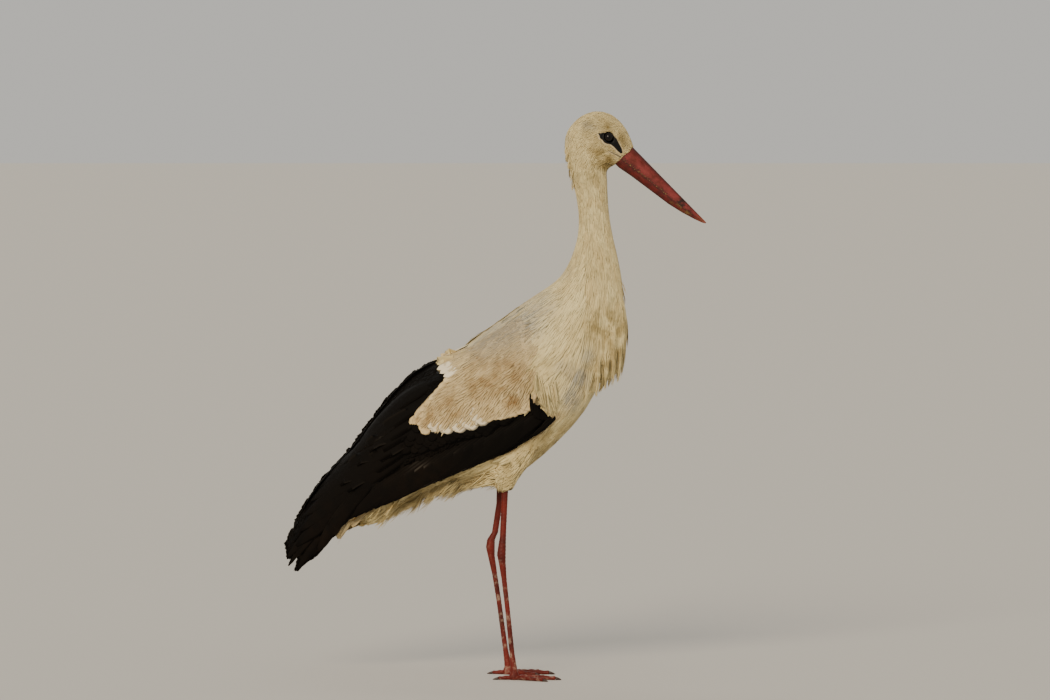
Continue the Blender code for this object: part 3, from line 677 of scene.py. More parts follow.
def walk(roots, length, shares, spin, stick=1.0):
    """Carries each feather over the form from its root: its middle line, and the normal along it."""
    place, normal, faces, gap = outer.nearest(roots)
    line, upward, hold = [place], [normal], np.ones(len(place))
    for k in range(1, len(shares)):
        run = run_at(place, normal, spin)
        free = np.stack([lie_at(place)[:, 0], run[:, 1] * 0.5, lie_at(place)[:, 1]], 1)
        run = free + (run - free) * hold[:, None]
        step = place + run * (length * (shares[k] - shares[k - 1]))[:, None]
        spot, fresh, faces, gap = outer.nearest(step)
        hold = np.minimum(hold, np.maximum(np.clip(1 - (gap / MM - HELD) / (FREE - HELD), 0, 1), stick))
        place = step + (spot - step) * hold[:, None]
        normal = unit(normal + (fresh - normal) * hold[:, None])
        line.append(place)
        upward.append(normal)
    return np.stack(line, 1), np.stack(upward, 1)


def vanes(name, line, upward, height, half, camber, wear_and_shade, look, slot, columns=3, ragged=0.0, cling=False, seed=0):
    """One mesh of closed vanes from arrays: stations along each feather, and columns across it."""
    count, stations = half.shape
    rng = np.random.default_rng(seed)
    tangent = unit(np.gradient(line, axis=1))
    side = unit(np.cross(tangent, upward))
    u = np.linspace(-1, 1, columns)
    top = line[:, :, None, :] + side[:, :, None, :] * (half[:, :, None, None] * u[None, None, :, None])
    if ragged > 0:
        pull = rng.uniform(0, ragged, (count, columns)) * half.max(1)[:, None]
        top[:, -1] -= tangent[:, -1, None, :] * pull[..., None]
        top[:, -2] -= tangent[:, -2, None, :] * (pull * 0.4)[..., None]
    up = np.repeat(upward[:, :, None, :], columns, axis=2)
    # its whole width follows the form where that is near
    if cling:
        spots, normals, faces, gaps = outer.nearest(top.reshape(-1, 3))
        near = (gaps < 4.5 * MM).reshape(top.shape[:3])[..., None]
        top = np.where(near, spots.reshape(top.shape), top)
        up = np.where(near, normals.reshape(top.shape), up)
    rise = height[:, :, None] + (camber * half)[:, :, None] * (1 - u**2)[None, None, :]
    top = top + up * rise[..., None]
    base = (np.arange(count)[:, None, None] * stations + np.arange(stations - 1)[None, :, None]) * columns
    k = np.arange(columns)[None, None, :]
    after = (k + 1) % columns
    quads = np.stack([base + k, base + after, base + columns + after, base + columns + k], 3).reshape(-1, 4)
    first = np.arange(count)[:, None] * stations * columns
    root_cap = first + np.arange(columns)[None, ::-1]
    tip_cap = first + (stations - 1) * columns + np.arange(columns)[None, :]
    mesh = bpy.data.meshes.new(name)
    mesh.vertices.add(count * stations * columns)
    mesh.vertices.foreach_set("co", top.ravel())
    loops = np.concatenate([quads.ravel(), root_cap.ravel(), tip_cap.ravel()])
    sizes = np.concatenate([np.full(len(quads), 4), np.full(2 * count, columns)])
    mesh.loops.add(len(loops))
    mesh.loops.foreach_set("vertex_index", loops)
    mesh.polygons.add(len(sizes))
    mesh.polygons.foreach_set("loop_start", np.concatenate([[0], np.cumsum(sizes)[:-1]]))
    mesh.polygons.foreach_set("loop_total", sizes)
    mesh.update(calc_edges=True)
    under = np.tile(np.arange(columns) == columns - 1, count * (stations - 1))
    sharp = mesh.attributes.new("sharp_face", "BOOLEAN", "FACE")
    sharp.data.foreach_set("value", np.concatenate([under, np.ones(2 * count, bool)]))
    # where on the feather each corner is, and where its root is on the bird
    run = np.zeros((count, stations))
    run[:, 1:] = np.cumsum(np.linalg.norm(np.diff(line, axis=1), axis=2), axis=1)
    vane = np.stack(np.broadcast_arrays(u[None, None, :] * 0.5 + 0.5, (run / run[:, -1:])[:, :, None]), 3)
    vane = vane.reshape(-1, 2)
    spots, normals, faces, gaps = chart_surface.nearest(line[:, 0])
    mix = chart_surface.weights(spots, faces)
    root_uv = (chart_uv[faces] * (mix / mix.sum(1)[:, None])[:, :, None]).sum(1)
    bake = np.repeat(root_uv, stations * columns, axis=0) + (vane - 0.5) * BAKE_PATCH
    for layer_name, values in (("Vane", vane), ("OFBake", bake)):
        layer = mesh.uv_layers.new(name=layer_name)
        layer.data.foreach_set("uv", values[loops].ravel())
    layer = mesh.color_attributes.new("WearAndShade", "FLOAT_COLOR", "POINT")
    full = np.concatenate([wear_and_shade, np.ones((count, stations, 1))], 2).reshape(-1, 4)
    layer.data.foreach_set("color", np.repeat(full, columns, axis=0).ravel())
    mesh.validate()
    made = bpy.data.objects.new(name, mesh)
    bpy.context.scene.collection.objects.link(made)
    mesh.materials.append(look)
    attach(made, "root")


# each kind of vane: the share of its length at each station, and its width there
ROUND = (np.array([0, 0.28, 0.55, 0.74, 0.86, 0.95, 1.0]), np.array([0.4, 0.82, 1.0, 0.97, 0.84, 0.58, 0.22]))
LANCE = (np.array([0, 0.3, 0.6, 0.85, 1.0]), np.array([0.5, 0.95, 1.0, 0.62, 0.1]))
HAIR = (np.array([0, 0.3, 0.6, 0.85, 1.0]), np.array([0.55, 1.0, 0.88, 0.5, 0.06]))
PLUME = (np.array([0, 0.2, 0.42, 0.62, 0.8, 0.92, 1.0]), np.array([0.4, 0.8, 1.0, 0.96, 0.7, 0.4, 0.07]))
FLIGHT_WIDTHS = [0.5, 0.75, 0.9, 0.98, 1.0, 1.0, 0.92, 0.7, 0.14]
FLIGHT = (np.linspace(0, 1, 25), np.interp(np.linspace(0, 8, 25), range(9), FLIGHT_WIDTHS))


def heights(shares, sink, tuck, lift):
    """Each feather's height over the form: deep at the root, then rising gently from below it to the tip."""
    low = np.clip(1 - shares / 0.3, 0, 1) ** 2
    return lift[:, None] * shares + tuck[:, None] * (shares - 1) - (sink - tuck)[:, None] * low


# points spread evenly over the outer form, apart from the closed fold between wing and body
rng = np.random.default_rng(11)
corners = [outer.points[outer.triangles[:, k]] for k in range(3)]
area = np.linalg.norm(np.cross(corners[1] - corners[0], corners[2] - corners[0]), axis=1)
POOL_SIZE = 520000
pool_faces = rng.choice(len(area), POOL_SIZE, p=area / area.sum())
r1, r2 = np.sqrt(rng.random(POOL_SIZE))[:, None], rng.random(POOL_SIZE)[:, None]
a, b, c = (corner[pool_faces] for corner in corners)
pool = a * (1 - r1) + b * (r1 * (1 - r2)) + c * (r1 * r2)
face_middle = outer.points[outer.triangles].mean(1)
face_normal = outer.normals[outer.triangles].mean(1)
shut = []
for spot, up in zip((face_middle + face_normal * 1.5 * MM).tolist(), face_normal.tolist()):
    shut.append(outer.tree.ray_cast(spot, up, 0.03)[0] is not None)
pool_node, pool_shut = node_at(face_middle)[pool_faces], np.array(shut)[pool_faces]


def thin_out(places, spacing):
    """Keeps places that are at least their own spacing apart."""
    kept, cells, size = [], {}, float(spacing.max())
    keys = np.floor(places / size).astype(int).tolist()
    rows = places.tolist()
    steps = [(i, j, k) for i in (-1, 0, 1) for j in (-1, 0, 1) for k in (-1, 0, 1)]
    for i, (cx, cy, cz) in enumerate(keys):
        x, y, z = rows[i]
        near = spacing[i] ** 2
        free = True
        for dx, dy, dz in steps:
            for px, py, pz in cells.get((cx + dx, cy + dy, cz + dz), ()):
                if (px - x) ** 2 + (py - y) ** 2 + (pz - z) ** 2 < near:
                    free = False
                    break
            if not free:
                break
        if free:
            cells.setdefault((cx, cy, cz), []).append((x, y, z))
            kept.append(i)
    return np.array(kept, int)


# Where the white feathers are stained ochre: x, z, reach, strength. The spots along the fold below the jaw and on the
# throat are painted shade, not stain.
OCHRE_STAIN_AND_SHADE = [
    (-105, 425, 24, 0.7), (-70, 446, 26, 0.65), (-25, 470, 28, 0.72), (25, 480, 30, 0.65), (70, 500, 24, 0.5),
    (20, 440, 24, 0.4), (60, 455, 20, 0.4), (-118, 412, 14, 0.4), (-30, 518, 12, 0.5), (-60, 420, 18, 0.35),
    (30, 446, 14, 0.45), (-20, 434, 16, 0.3), (10, 508, 24, 0.55), (-32, 500, 16, 0.4), (78, 445, 12, 0.35),
    (160, 655, 26, 0.35), (182, 575, 24, 0.75), (195, 520, 24, 0.55), (170, 490, 24, 0.6), (150, 560, 20, 0.35),
    (24, 345, 30, 0.6), (15, 312, 18, 0.45), (-60, 310, 30, 0.7), (-130, 285, 32, 0.75), (70, 370, 24, 0.3),
    (180, 882, 9, 0.75), (200, 866, 8, 0.95), (206, 853, 7, 0.7), (178, 838, 15, 0.6), (160, 852, 14, 0.6),
    (150, 868, 11, 0.55), (192, 878, 8, 0.5), (176, 760, 12, 0.25), (146, 886, 10, 0.5), (160, 826, 8, 0.8),
    (176, 821, 8, 0.7), (164, 808, 14, 0.5), (170, 842, 16, 0.35), (172, 880, 7, 0.5), (150, 800, 16, 0.25),
    (207, 530, 18, 0.4), (203, 560, 18, 0.3), (165, 900, 20, 0.3), (100, 405, 24, 0.5), (75, 372, 24, 0.5),
    (170, 545, 36, 0.2), (168, 492, 28, 0.1), (181, 823, 9, 0.8),
]
# where they look grey and cool, which is painted shade: on the mantle, on the breast along the wing's front edge, down
# the hind neck and behind the brow; x, z, reach, strength
GREY_SHADE = [
    (145, 885, 9, 0.5), (157, 881, 7, 0.35), (75, 602, 26, 0.7), (20, 562, 36, 0.75), (-30, 537, 26, 0.7),
    (135, 475, 16, 0.75), (122, 440, 16, 0.7), (108, 500, 16, 0.45), (114, 862, 7, 0.5), (118, 800, 8, 0.4),
    (50, 582, 24, 0.4), (0, 548, 26, 0.4), (147, 517, 11, 0.9), (135, 486, 12, 0.9), (118, 456, 12, 0.9),
    (-80, 508, 14, 0.25), (60, 558, 26, 0.35), (112, 650, 14, 0.4), (190, 790, 8, 0.3),
]
# and where the black ones show paler, worn edges, or look brown
SILVER = [(-112, 326, 13, 0.75), (-53, 343, 11, 0.6), (-20, 352, 10, 0.4), (-190, 404, 10, 0.4)]
BROWN = [(-150, 320, 60, 0.35), (-250, 240, 50, 0.35), (-100, 340, 40, 0.25), (-290, 200, 40, 0.4)]


def soft_spots(places, spots):
    """How strong the spots are at each place, seen from the side."""
    seen = places[:, [0, 2]] / MM
    total = np.zeros(len(places))
    for x, z, reach, strength in spots:
        total += strength * np.exp(-(((seen - (x, z)) ** 2).sum(1)) / reach**2)
    return np.clip(total, 0, 1)


def wear_and_shade_of(line, first, second, seed, tips):
    """Each feather's own tone, and along it the warm stain, weaker at the tip, and the grey of the place; the grey on
    white feathers, and the warm spots below the jaw, are painted shade.
    """
    rng = np.random.default_rng(seed)
    count, stations = line.shape[:2]
    tone = np.repeat(np.clip(rng.normal(0.6, 0.15, count), 0, 1), stations).reshape(count, stations)
    warm_stain_and_shade = soft_spots(line.reshape(-1, 3), first).reshape(count, stations)
    grey_shade_and_silver = soft_spots(line.reshape(-1, 3), second).reshape(count, stations)
    warm_stain_and_shade = warm_stain_and_shade * rng.uniform(0.75, 1.1, count)[:, None] * (1 - tips * np.linspace(-0.6, 1, stations).clip(0, 1))
    grey_shade_and_silver = grey_shade_and_silver * rng.uniform(0.5, 1.2, count)[:, None]
    return np.clip(np.stack([tone, warm_stain_and_shade, grey_shade_and_silver], 2), 0, 1)


def feather_look(name, pale, dark, stain_and_shade_colour, grey_shade_and_silver, fringe, barbs, rough, fibres, gloss, worn):
    """Vaned feathers: a fine shaft down the middle, slanting barbs, painted shade darkening the roots, and each one's
    own wear, with the painted shade of its place.

    The stains break up in blotches of 17 mm, and the fibres in specks of 2 mm, drawn coarse enough to show."""
    look, tree = new_material(name)
    spot = add(tree, "SeparateXYZ", {0: add(tree, "UVMap", uv_map="Vane")})
    place = add(tree, "TexCoord").outputs["Object"]
    wear_and_shade = add(tree, "SeparateColor", {0: add(tree, "Attribute", attribute_name="WearAndShade")}).outputs
    aside = add(tree, "Math", {0: spot, 1: 0.5}, operation="SUBTRACT")
    aside = add(tree, "Math", {0: aside}, operation="ABSOLUTE")
    slant = add(tree, "Math", {0: aside, 1: -0.5, 2: spot.outputs["Y"]}, operation="MULTIPLY_ADD")
    lines = add(tree, "Math", {0: slant, 1: barbs}, operation="MULTIPLY")
    lines = add(tree, "Math", {0: lines}, operation="SINE")
    shaft = add(tree, "MapRange", {0: aside, 1: 0.0, 2: 0.05, 3: 1.0, 4: 0.0})
    blotch = add(tree, "TexNoise", {"Vector": place, "Scale": 60, "Detail": 2.5, "Roughness": 0.5})
    fine = add(tree, "TexNoise", {"Vector": place, "Scale": 480, "Detail": 3, "Roughness": 0.7})
    # the warm stain, brown on the black feathers; along the fold below the jaw and on the throat it is painted shade
    stain_and_shade = add(tree, "MapRange", {0: blotch, 1: 0.3, 2: 0.6})
    stain_and_shade = add(tree, "Math", {0: stain_and_shade, 1: wear_and_shade[1]}, operation="MULTIPLY")
    # painted shade: the grey of the place over the whole of each white vane; on the black vanes it only pales their
    # edges where the spots lie
    grey_shade_and_silver_share = add(tree, "MapRange", {0: aside, 1: worn - 0.06, 2: worn, 4: 0.85})
    grey_shade_and_silver_share = add(tree, "Math", {0: wear_and_shade[2], 1: grey_shade_and_silver_share}, operation="MULTIPLY")
    # painted shade: each vane darkens towards its root, as if shaded by the feathers that lie over it
    root = add(tree, "MapRange", {0: spot.outputs["Y"], 1: 0.0, 2: 0.6, 3: 0.2, 4: 0.0})
    rim = add(tree, "MapRange", {0: aside, 1: 0.40, 2: 0.5, 4: 0.35})
    fibre = add(tree, "MapRange", {0: fine, 1: 0.45, 2: 0.8, 4: fibres})
    colour = dark
    layers = ((wear_and_shade[0], pale), (stain_and_shade, stain_and_shade_colour), (grey_shade_and_silver_share, grey_shade_and_silver), (root, dark), (rim, fringe), (fibre, dark))
    for share, over in layers:
        colour = add(tree, "Mix", {0: share, 6: colour, 7: over}, data_type="RGBA")
    relief = add(tree, "Math", {0: lines, 1: 0.4, 2: shaft}, operation="MULTIPLY_ADD")
    bump = add(tree, "Bump", {"Height": relief, "Strength": 0.3, "Distance": 0.0003})
    soft = {"Base Color": colour, "Roughness": rough, "Normal": bump, "Specular IOR Level": gloss}
    end_material(tree, add(tree, "BsdfPrincipled", soft))
    return look


# Cream-white, matt and silky, so that only the lie shows; the wing's are a little crisper.
WHITE_DOWN = feather_look(
    "white_contour_feathers", "#EDDCA6", "#D7C18B", "#86703F", "#9C9A92", "#EDDCA6", 190.0, 0.9, 0.2, 0.15, 0.0
)
WHITE_VANE = feather_look(
    "white_covert_feathers", "#E6D0A2", "#CBB17C", "#8A6434", "#A59E8F", "#E8D3A6", 260.0, 0.85, 0.35, 0.15, 0.0
)
# The last, freshest feathers of the coverts and scapulars are whiter, which sets their edge off from the black.
WHITE_EDGE = feather_look(
    "white_edge_feathers", "#F2E7CB", "#DDCDA6", "#9A7444", "#B5AF9F", "#F2E9D2", 260.0, 0.85, 0.3, 0.15, 0.0
)
# Deep, slightly brown black, nearly matt, and thin worn edges that show each feather's outline.
BLACK_VANE = feather_look(
    "black_flight_feathers", "#110E0B", "#080706", "#1C130C", "#6E675C", "#2A241D", 420.0, 0.8, 0.25, 0.07, 0.42
)


# the top of the black feathers there, as a line of x and z in mm
BLACK_TOP = ([-240, -38, 60, 95], [262, 347, 390, 420])


LOCK_LIFT = 0.15 * MM  # how far the tips of whole locks stand out beyond the others


def coat(nodes, kind, seed, spacing=1.0, size=1.0, broad=1.0, spin=0.08, stick=1.0, lock=0.0, gather=0.0, base=0.0):
    """Feathers of one kind over the named solids, by the list of the lie; locks gather their tips."""
    own = np.isin(pool_node, nodes) & ~pool_shut
    places = pool[own]
    row = lie_at(places)
    kept = thin_out(places, row[:, 2] * MM * spacing)
    places, row = places[kept], row[kept]
    rng = np.random.default_rng(seed)
    length = row[:, 3] * MM * size * rng.uniform(0.82, 1.15, len(places))
    wide = row[:, 4] * MM * broad * rng.uniform(0.85, 1.15, len(places))
    lift = row[:, 5] * MM * rng.uniform(0.05, 0.5, len(places))
    shade = np.zeros(len(places))
    line, upward = walk(places, length, kind[0], rng.normal(0, spin, len(places)), stick)
    if gather > 0:
        heads = thin_out(places, row[:, 2] * MM * lock)
        found = KDTree(len(heads))
        for i, spot in enumerate(places[heads].tolist()):
            found.insert(spot, i)
        found.balance()
        nearest = np.array([found.find(spot)[1] for spot in places.tolist()])
        turned = rng.normal(0, spin, len(heads))
        guide = walk(places[heads], row[heads, 3] * MM * size, kind[0], turned, stick)[0]
        pull = (gather * kind[0] ** 1.5)[None, :, None] * rng.uniform(0.5, 1.2, len(places))[:, None, None]
        line = line + (guide[nearest] - line) * np.clip(pull, 0, 0.95)
        lift = lift + LOCK_LIFT * rng.uniform(0, 1, len(heads))[nearest]
        shade = rng.normal(0, 0.24, len(heads))[nearest]
    depth = np.mean([depth_of(name) for name in nodes])
    height = heights(kind[0], np.full(len(places), depth), 0.15 * MM + wide * 0.05, lift) + base
    half = wide[:, None] / 2 * kind[1][None, :]
    return dict(line=line, upward=upward, height=height, half=half, wide=wide, shade=shade)


def dark_at(places):
    """Whether each place lies on the black feathers, on the outer face of a wing."""
    x, y, z = places.T / MM
    return np.isin(node_at(places), BLACK_NODES) & (np.abs(y) > 55) & (z > np.interp(x, *BLACK_TOP))


def lay(name, laid, look, seed, clear=None, camber=0.1, first=OCHRE_STAIN_AND_SHADE, second=GREY_SHADE, tone=0.0, tips=0.0, **settings):
    """Makes the mesh of the laid feathers that are clear, with their wear and painted shade: its tone, first and second
    spots.
    """
    clear = np.ones(len(laid["wide"]), bool) if clear is None else clear
    line, upward, height, half = (laid[key][clear] for key in ("line", "upward", "height", "half"))
    wear_and_shade = wear_and_shade_of(line, first, second, seed, tips)
    shade = laid["shade"][clear][:, None] if "shade" in laid else 0.0
    wear_and_shade[..., 0] = np.clip(wear_and_shade[..., 0] + tone + shade, 0, 1)
    slot = "plumage_black" if look is BLACK_VANE else "plumage_white"
    vanes(name, line, upward, height, half, camber, wear_and_shade, look, slot, seed=seed, **settings)


# -------- the head's feathers
# Short, dense, silky feathers that start at the bill's base and lie back over the head. They stop at the bare
# black skin round the eye, leave the line of the gape free, and grow longer on the nape.


def off_the_face(line, apart):
    """Whether each feather stays off the bare skin round the eye and the line of the gape."""
    clear = outside_chain(line[:, -1], BARE_PATCH) > apart
    for k in range(5):
        clear &= (outside_chain(line[:, k], GAPE_LINE) > 0.3) & (outside_chain(line[:, k], BARE_PATCH) > apart)
    return clear


laid = coat(["head"], LANCE, 23, 1.15, size=0.7, broad=1.9, spin=0.1, base=-0.5 * MM)
lay("head_down", laid, WHITE_DOWN, 24, off_the_face(laid["line"], 1.2), tone=-0.1)
laid = coat(["head"], HAIR, 21, 0.78, size=1.3, spin=0.08, lock=4.0, gather=0.3, broad=0.72)
laid["shade"] *= 0.6
lay("head_feathers", laid, WHITE_DOWN, 22, off_the_face(laid["line"], 0.4), tone=-0.1)
# the shortest ones reach up to the bare skin and the gape
laid = coat(["head"], HAIR, 25, 0.55, size=0.42, broad=0.5, spin=0.08)
middle = laid["line"][:, 2]
near = np.minimum(outside_chain(middle, BARE_PATCH), outside_chain(middle, GAPE_LINE)) < 8
lay("face_feathers", laid, WHITE_DOWN, 26, near & off_the_face(laid["line"], 0.2), tone=-0.1)

# -------- the neck's feathers
# Narrow, hair-like feathers that hang down the neck and grow longer towards the breast. Those of the hind
# neck stand out a little in loose tufts.

laid = coat(["neck_upper"], LANCE, 35, 1.15, size=0.8, broad=2.3, spin=0.1, base=-0.8 * MM)
lay("neck_down", laid, WHITE_DOWN, 36, tone=0.1)
laid = coat(["neck_upper"], HAIR, 31, 0.76, size=1.35, spin=0.06, lock=4.2, gather=0.35, broad=0.75)
lay("neck_feathers", laid, WHITE_DOWN, 32)
laid = coat(["neck_lower"], LANCE, 37, 1.15, size=0.8, broad=2.3, spin=0.1, base=-0.9 * MM)
lay("neck_base_down", laid, WHITE_DOWN, 38, ~dark_at(laid["line"][:, -1]), tone=0.1)
laid = coat(["neck_lower"], HAIR, 33, 0.72, size=1.35, spin=0.05, lock=4.0, gather=0.35, broad=0.8)
lay("neck_base_feathers", laid, WHITE_DOWN, 34, ~dark_at(laid["line"][:, -1]))

# -------- the back, breast and belly
# Softer, wider feathers in overlapping rows on the back, and loose, hair-like ones on the breast, belly and
# thighs, which hang in ragged tufts under the wing.

laid = coat(["trunk"], LANCE, 45, 1.15, size=0.8, spin=0.1, stick=0.5, broad=2.3, base=-0.9 * MM)
clear = ~(dark_at(laid["line"][:, -1]) | dark_at(laid["line"][:, 2]))
lay("body_down", laid, WHITE_DOWN, 46, clear, tone=0.1)
laid = coat(["trunk"], HAIR, 41, 0.76, size=1.3, spin=0.06, lock=4.0, gather=0.25, stick=0.5, broad=0.9)
clear = ~(dark_at(laid["line"][:, -1]) | dark_at(laid["line"][:, 2]))
lay("body_feathers", laid, WHITE_DOWN, 42, clear)
laid = coat(["thigh_right", "thigh_left"], LANCE, 43, spin=0.1, lock=3.0, gather=0.5)
lay("thigh_feathers", laid, WHITE_DOWN, 44, laid["line"][:, -1, 2] > 302 * MM)

# -------- the breast plumes
# Long, narrow, pointed plumes that hang from the lower neck over the breast and end in a ragged fringe.

laid = coat(["breast_plumes"], PLUME, 51, 0.9, size=1.3, spin=0.05, stick=0.0, lock=3.0, gather=0.4, broad=1.2)
FRINGE = [(120, 430), (150, 455), (162, 462), (185, 479), (199, 488), (206, 496)]
ends = laid["line"][:, -1] / MM
clear = ends[:, 2] > np.interp(ends[:, 0], [x for x, z in FRINGE], [z for x, z in FRINGE])
lay("breast_plume_feathers", laid, WHITE_DOWN, 52, clear, columns=5, ragged=0.8)

# -------- the loose tufts
# Single tufts that stand out from the coat: on the hind neck, along the edge of the breast plumes, below the
# belly and under the tail. Each is a bunch of hair-like feathers that gather in a point.

# where its roots are and where it ends, x, y, z in mm; how far its roots spread, how many feathers
TUFTS = [
    ((114, 4, 862), (113, 6, 848), 6, 20), ((113, -5, 852), (112, -8, 837), 6, 20),
    ((116, 0, 838), (114, -1, 824), 6, 22), ((119, -8, 828), (116, -10, 814), 5, 18),
    ((121, 3, 815), (119, 4, 800), 6, 20), ((124, -5, 795), (122, -6, 780), 6, 18),
    ((116, -10, 845), (114, -13, 830), 5, 16), ((118, 10, 840), (116, 12, 824), 5, 16),
    ((123, -12, 812), (121, -14, 796), 5, 14), ((201, -12, 542), (201, -13, 486), 8, 34),
    ((198, -24, 536), (196, -26, 476), 8, 36), ((190, -38, 530), (186, -38, 471), 8, 36),
    ((200, 12, 542), (200, 13, 484), 8, 34), ((197, 24, 536), (195, 26, 478), 8, 36),
    ((190, 38, 530), (185, 38, 472), 8, 36), ((202, 0, 546), (202, 0, 489), 8, 34),
    ((182, -48, 520), (174, -48, 462), 8, 36), ((170, -54, 510), (160, -55, 453), 8, 36),
    ((182, 48, 520), (173, 48, 463), 8, 36), ((170, 54, 510), (158, 55, 455), 8, 36),
    ((156, -60, 495), (142, -61, 444), 8, 34), ((194, 8, 522), (191, 9, 474), 7, 28),
    ((187, -10, 512), (181, -10, 467), 7, 28), ((177, 20, 505), (168, 20, 460), 8, 28),
    ((175, -22, 508), (166, -22, 458), 8, 28), ((202, -6, 604), (208, -6, 572), 5, 12),
    ((202, 5, 628), (207, 5, 598), 5, 12), ((203, -3, 636), (209, -4, 611), 4, 10),
    ((205, 2, 590), (211, 1, 556), 5, 12), ((206, -8, 575), (211, -9, 530), 5, 12),
]


def tufts(name, listed, wide, seed, bow, scatter):
    """Bunches of narrow feathers, each from its roots on the form to its own point."""
    rng = np.random.default_rng(seed)
    shares = PLUME[0]
    lines, ups = [], []
    for root, tip, reach, count in listed:
        roots = np.array(root) + rng.normal(0, 0.5, (count, 3)) * reach * np.array((0.6, 1.0, 1.3))
        roots, normals, faces, gaps = outer.nearest(roots * MM)
        ends = (np.array(tip) + rng.normal(0, scatter, (count, 3)) * reach) * MM
        ends = roots + (ends - roots) * rng.uniform(0.6, 1.05, count)[:, None]
        length = np.linalg.norm(ends - roots, axis=1)
        line = roots[:, None, :] + (ends - roots)[:, None, :] * shares[None, :, None]
        line += normals[:, None, :] * (bow * length[:, None] * np.sin(shares * math.pi)[None, :])[:, :, None]
        lines.append(line)
        ups.append(np.repeat(normals[:, None, :], len(shares), axis=1))
    line, upward = np.concatenate(lines), np.concatenate(ups)
    across = wide * MM * rng.uniform(0.7, 1.3, len(line))
    lift = rng.uniform(0, 0.6, len(line)) * MM
    height = heights(shares, np.full(len(line), 3 * MM), np.full(len(line), 0.2 * MM), lift)
    laid = dict(line=line, upward=upward, height=height, half=across[:, None] / 2 * PLUME[1][None, :], wide=across)
    lay(name, laid, WHITE_DOWN, seed, ragged=0.6)


tufts("tuft_feathers", TUFTS, 2.2, 55, 0.03, 0.15)
rng = np.random.default_rng(56)
BELLY_LINE = [(14, 316), (-4, 311), (-22, 305), (-42, 299), (-64, 292), (-90, 281), (-116, 271)]
BELLY_LINE += [(-142, 262), (-168, 250)]
belly = []
for x, z in BELLY_LINE:
    for y in (-46, -28, -10, 10, 28, 46):
        dx, dy, dz = rng.normal(0, 5.0, 3)
        belly.append(((x + dx, y + dy, z + 8), (x + dx - 30, y + dy, z - 4 + 0.8 * dz), 11, 30))
# and round the top of each leg, where the feathers end
for turn in range(0, 360, 30):
    for y in (-46, 46):
        out, aside = math.cos(math.radians(turn)), math.sin(math.radians(turn))
        belly.append(((11 + 13 * out, y + 13 * aside, 322), (10 + 7 * out, y + 7 * aside, 301), 4, 16))
tufts("belly_tuft_feathers", belly, 1.9, 57, 0.03, 0.38)

# -------- the scapulars and coverts
# White, rounded feathers over the shoulder and the upper wing, smaller towards its front. The last rows of the
# coverts are larger, end in soft scallops, and lie over the black feathers below.

# the straight upper edge of the white, and the notch in front, as chains seen from the side: x, z and reach in mm
STRAIGHT_EDGE = [(-140, 411, 0), (-75, 490, 0), (-90, 503, 0)]
NOTCH = [(58, 458, 0), (63, 425, 0)]
# stretches of the covert edge, and how far apart their tips are: hairy, scalloped, hairy again
STRETCHES = [([(-139, 411), (-115, 405)], 7), ([(-104, 400), (-92, 395), (-55, 401), (-26, 412)], 19)]
STRETCHES += [([(-15, 415), (1, 418), (40, 426), (46, 428)], 8)]

# in front, where they lie over the black bend: from root to tip, x, z and x, z in mm
BEND = [(58, 492, 67, 458), (64, 484, 70, 449), (68, 478, 76, 438), (74, 474, 82, 428), (80, 474, 89, 424)]
BEND += [(86, 476, 96, 428), (90, 490, 100, 445), (62, 500, 67, 462), (70, 496, 77, 452), (80, 496, 88, 446)]


def from_side(x, z, sign):
    """Where a line from the bird's side first meets the form, or None."""
    return outer.tree.ray_cast((x, sign * 0.3, z), (0, -sign, 0))[0]


def on_side(spots, sign):
    """Places on the form, found from the side, for x and z in mm; beyond its outline, the nearest ones."""
    found = []
    for x, z in np.asarray(spots) * MM:
        hit = from_side(x, z, sign)
        found.append(hit[:] if hit is not None else outer.tree.find_nearest((x, sign * 0.02, z))[0][:])
    return np.array(found)


def along_edge(edge, step, shift, offset=0.0):
    """Points in mm every step along a line of points, the whole moved by shift."""
    edge = np.array(edge, float)
    run = np.concatenate([[0], np.cumsum(np.linalg.norm(np.diff(edge, axis=0), axis=1))])
    stops = np.arange(offset * step, run[-1], step)
    return np.stack([np.interp(stops, run, edge[:, 0]), np.interp(stops, run, edge[:, 1])], 1) + shift


ROOTED = 2.4 * MM  # how deep the roots of the rows lie


def tipped_row(tips, length, wide, top, seed, uneven=2.5 * MM):
    """Rounded feathers whose tips lie on the given places, at a height of top."""
    rng = np.random.default_rng(seed)
    count, shares = len(tips), ROUND[0]
    place, normal, faces, gap = outer.nearest(tips)
    still = np.zeros(count)
    for k in range(6):
        place, normal, faces, gap = outer.nearest(place - run_at(place, normal, still) * length / 6)
    line, upward = walk(place, np.full(count, length), shares, rng.normal(0, 0.03, count))
    # each line is moved, more and more towards its end, to meet its tip
    tips = tips + run_at(tips, upward[:, -1], still) * rng.uniform(-uneven, uneven, count)[:, None]
    line = line + (tips - line[:, -1])[:, None, :] * (shares**1.2)[None, :, None]
    across = wide * rng.uniform(0.85, 1.15, count)
    rise = np.clip((shares - 0.1) / 0.8, 0, 1)
    height = (-ROOTED + (top + ROOTED) * rise**0.8)[None, :] + rng.uniform(0, 0.2 * MM, count)[:, None]
    return dict(line=line, upward=upward, height=height, half=across[:, None] / 2 * ROUND[1][None, :], wide=across)


def joined(rows):
    """Several rows of laid feathers as one."""
    return {key: np.concatenate([row[key] for row in rows]) for key in rows[0]}


def white_at(places):
    """Whether each place lies on white feathers, or on the black solids where white ones cover them."""
    return ~np.isin(node_at(places), BLACK_NODES) | within(places, WHITE_WING)


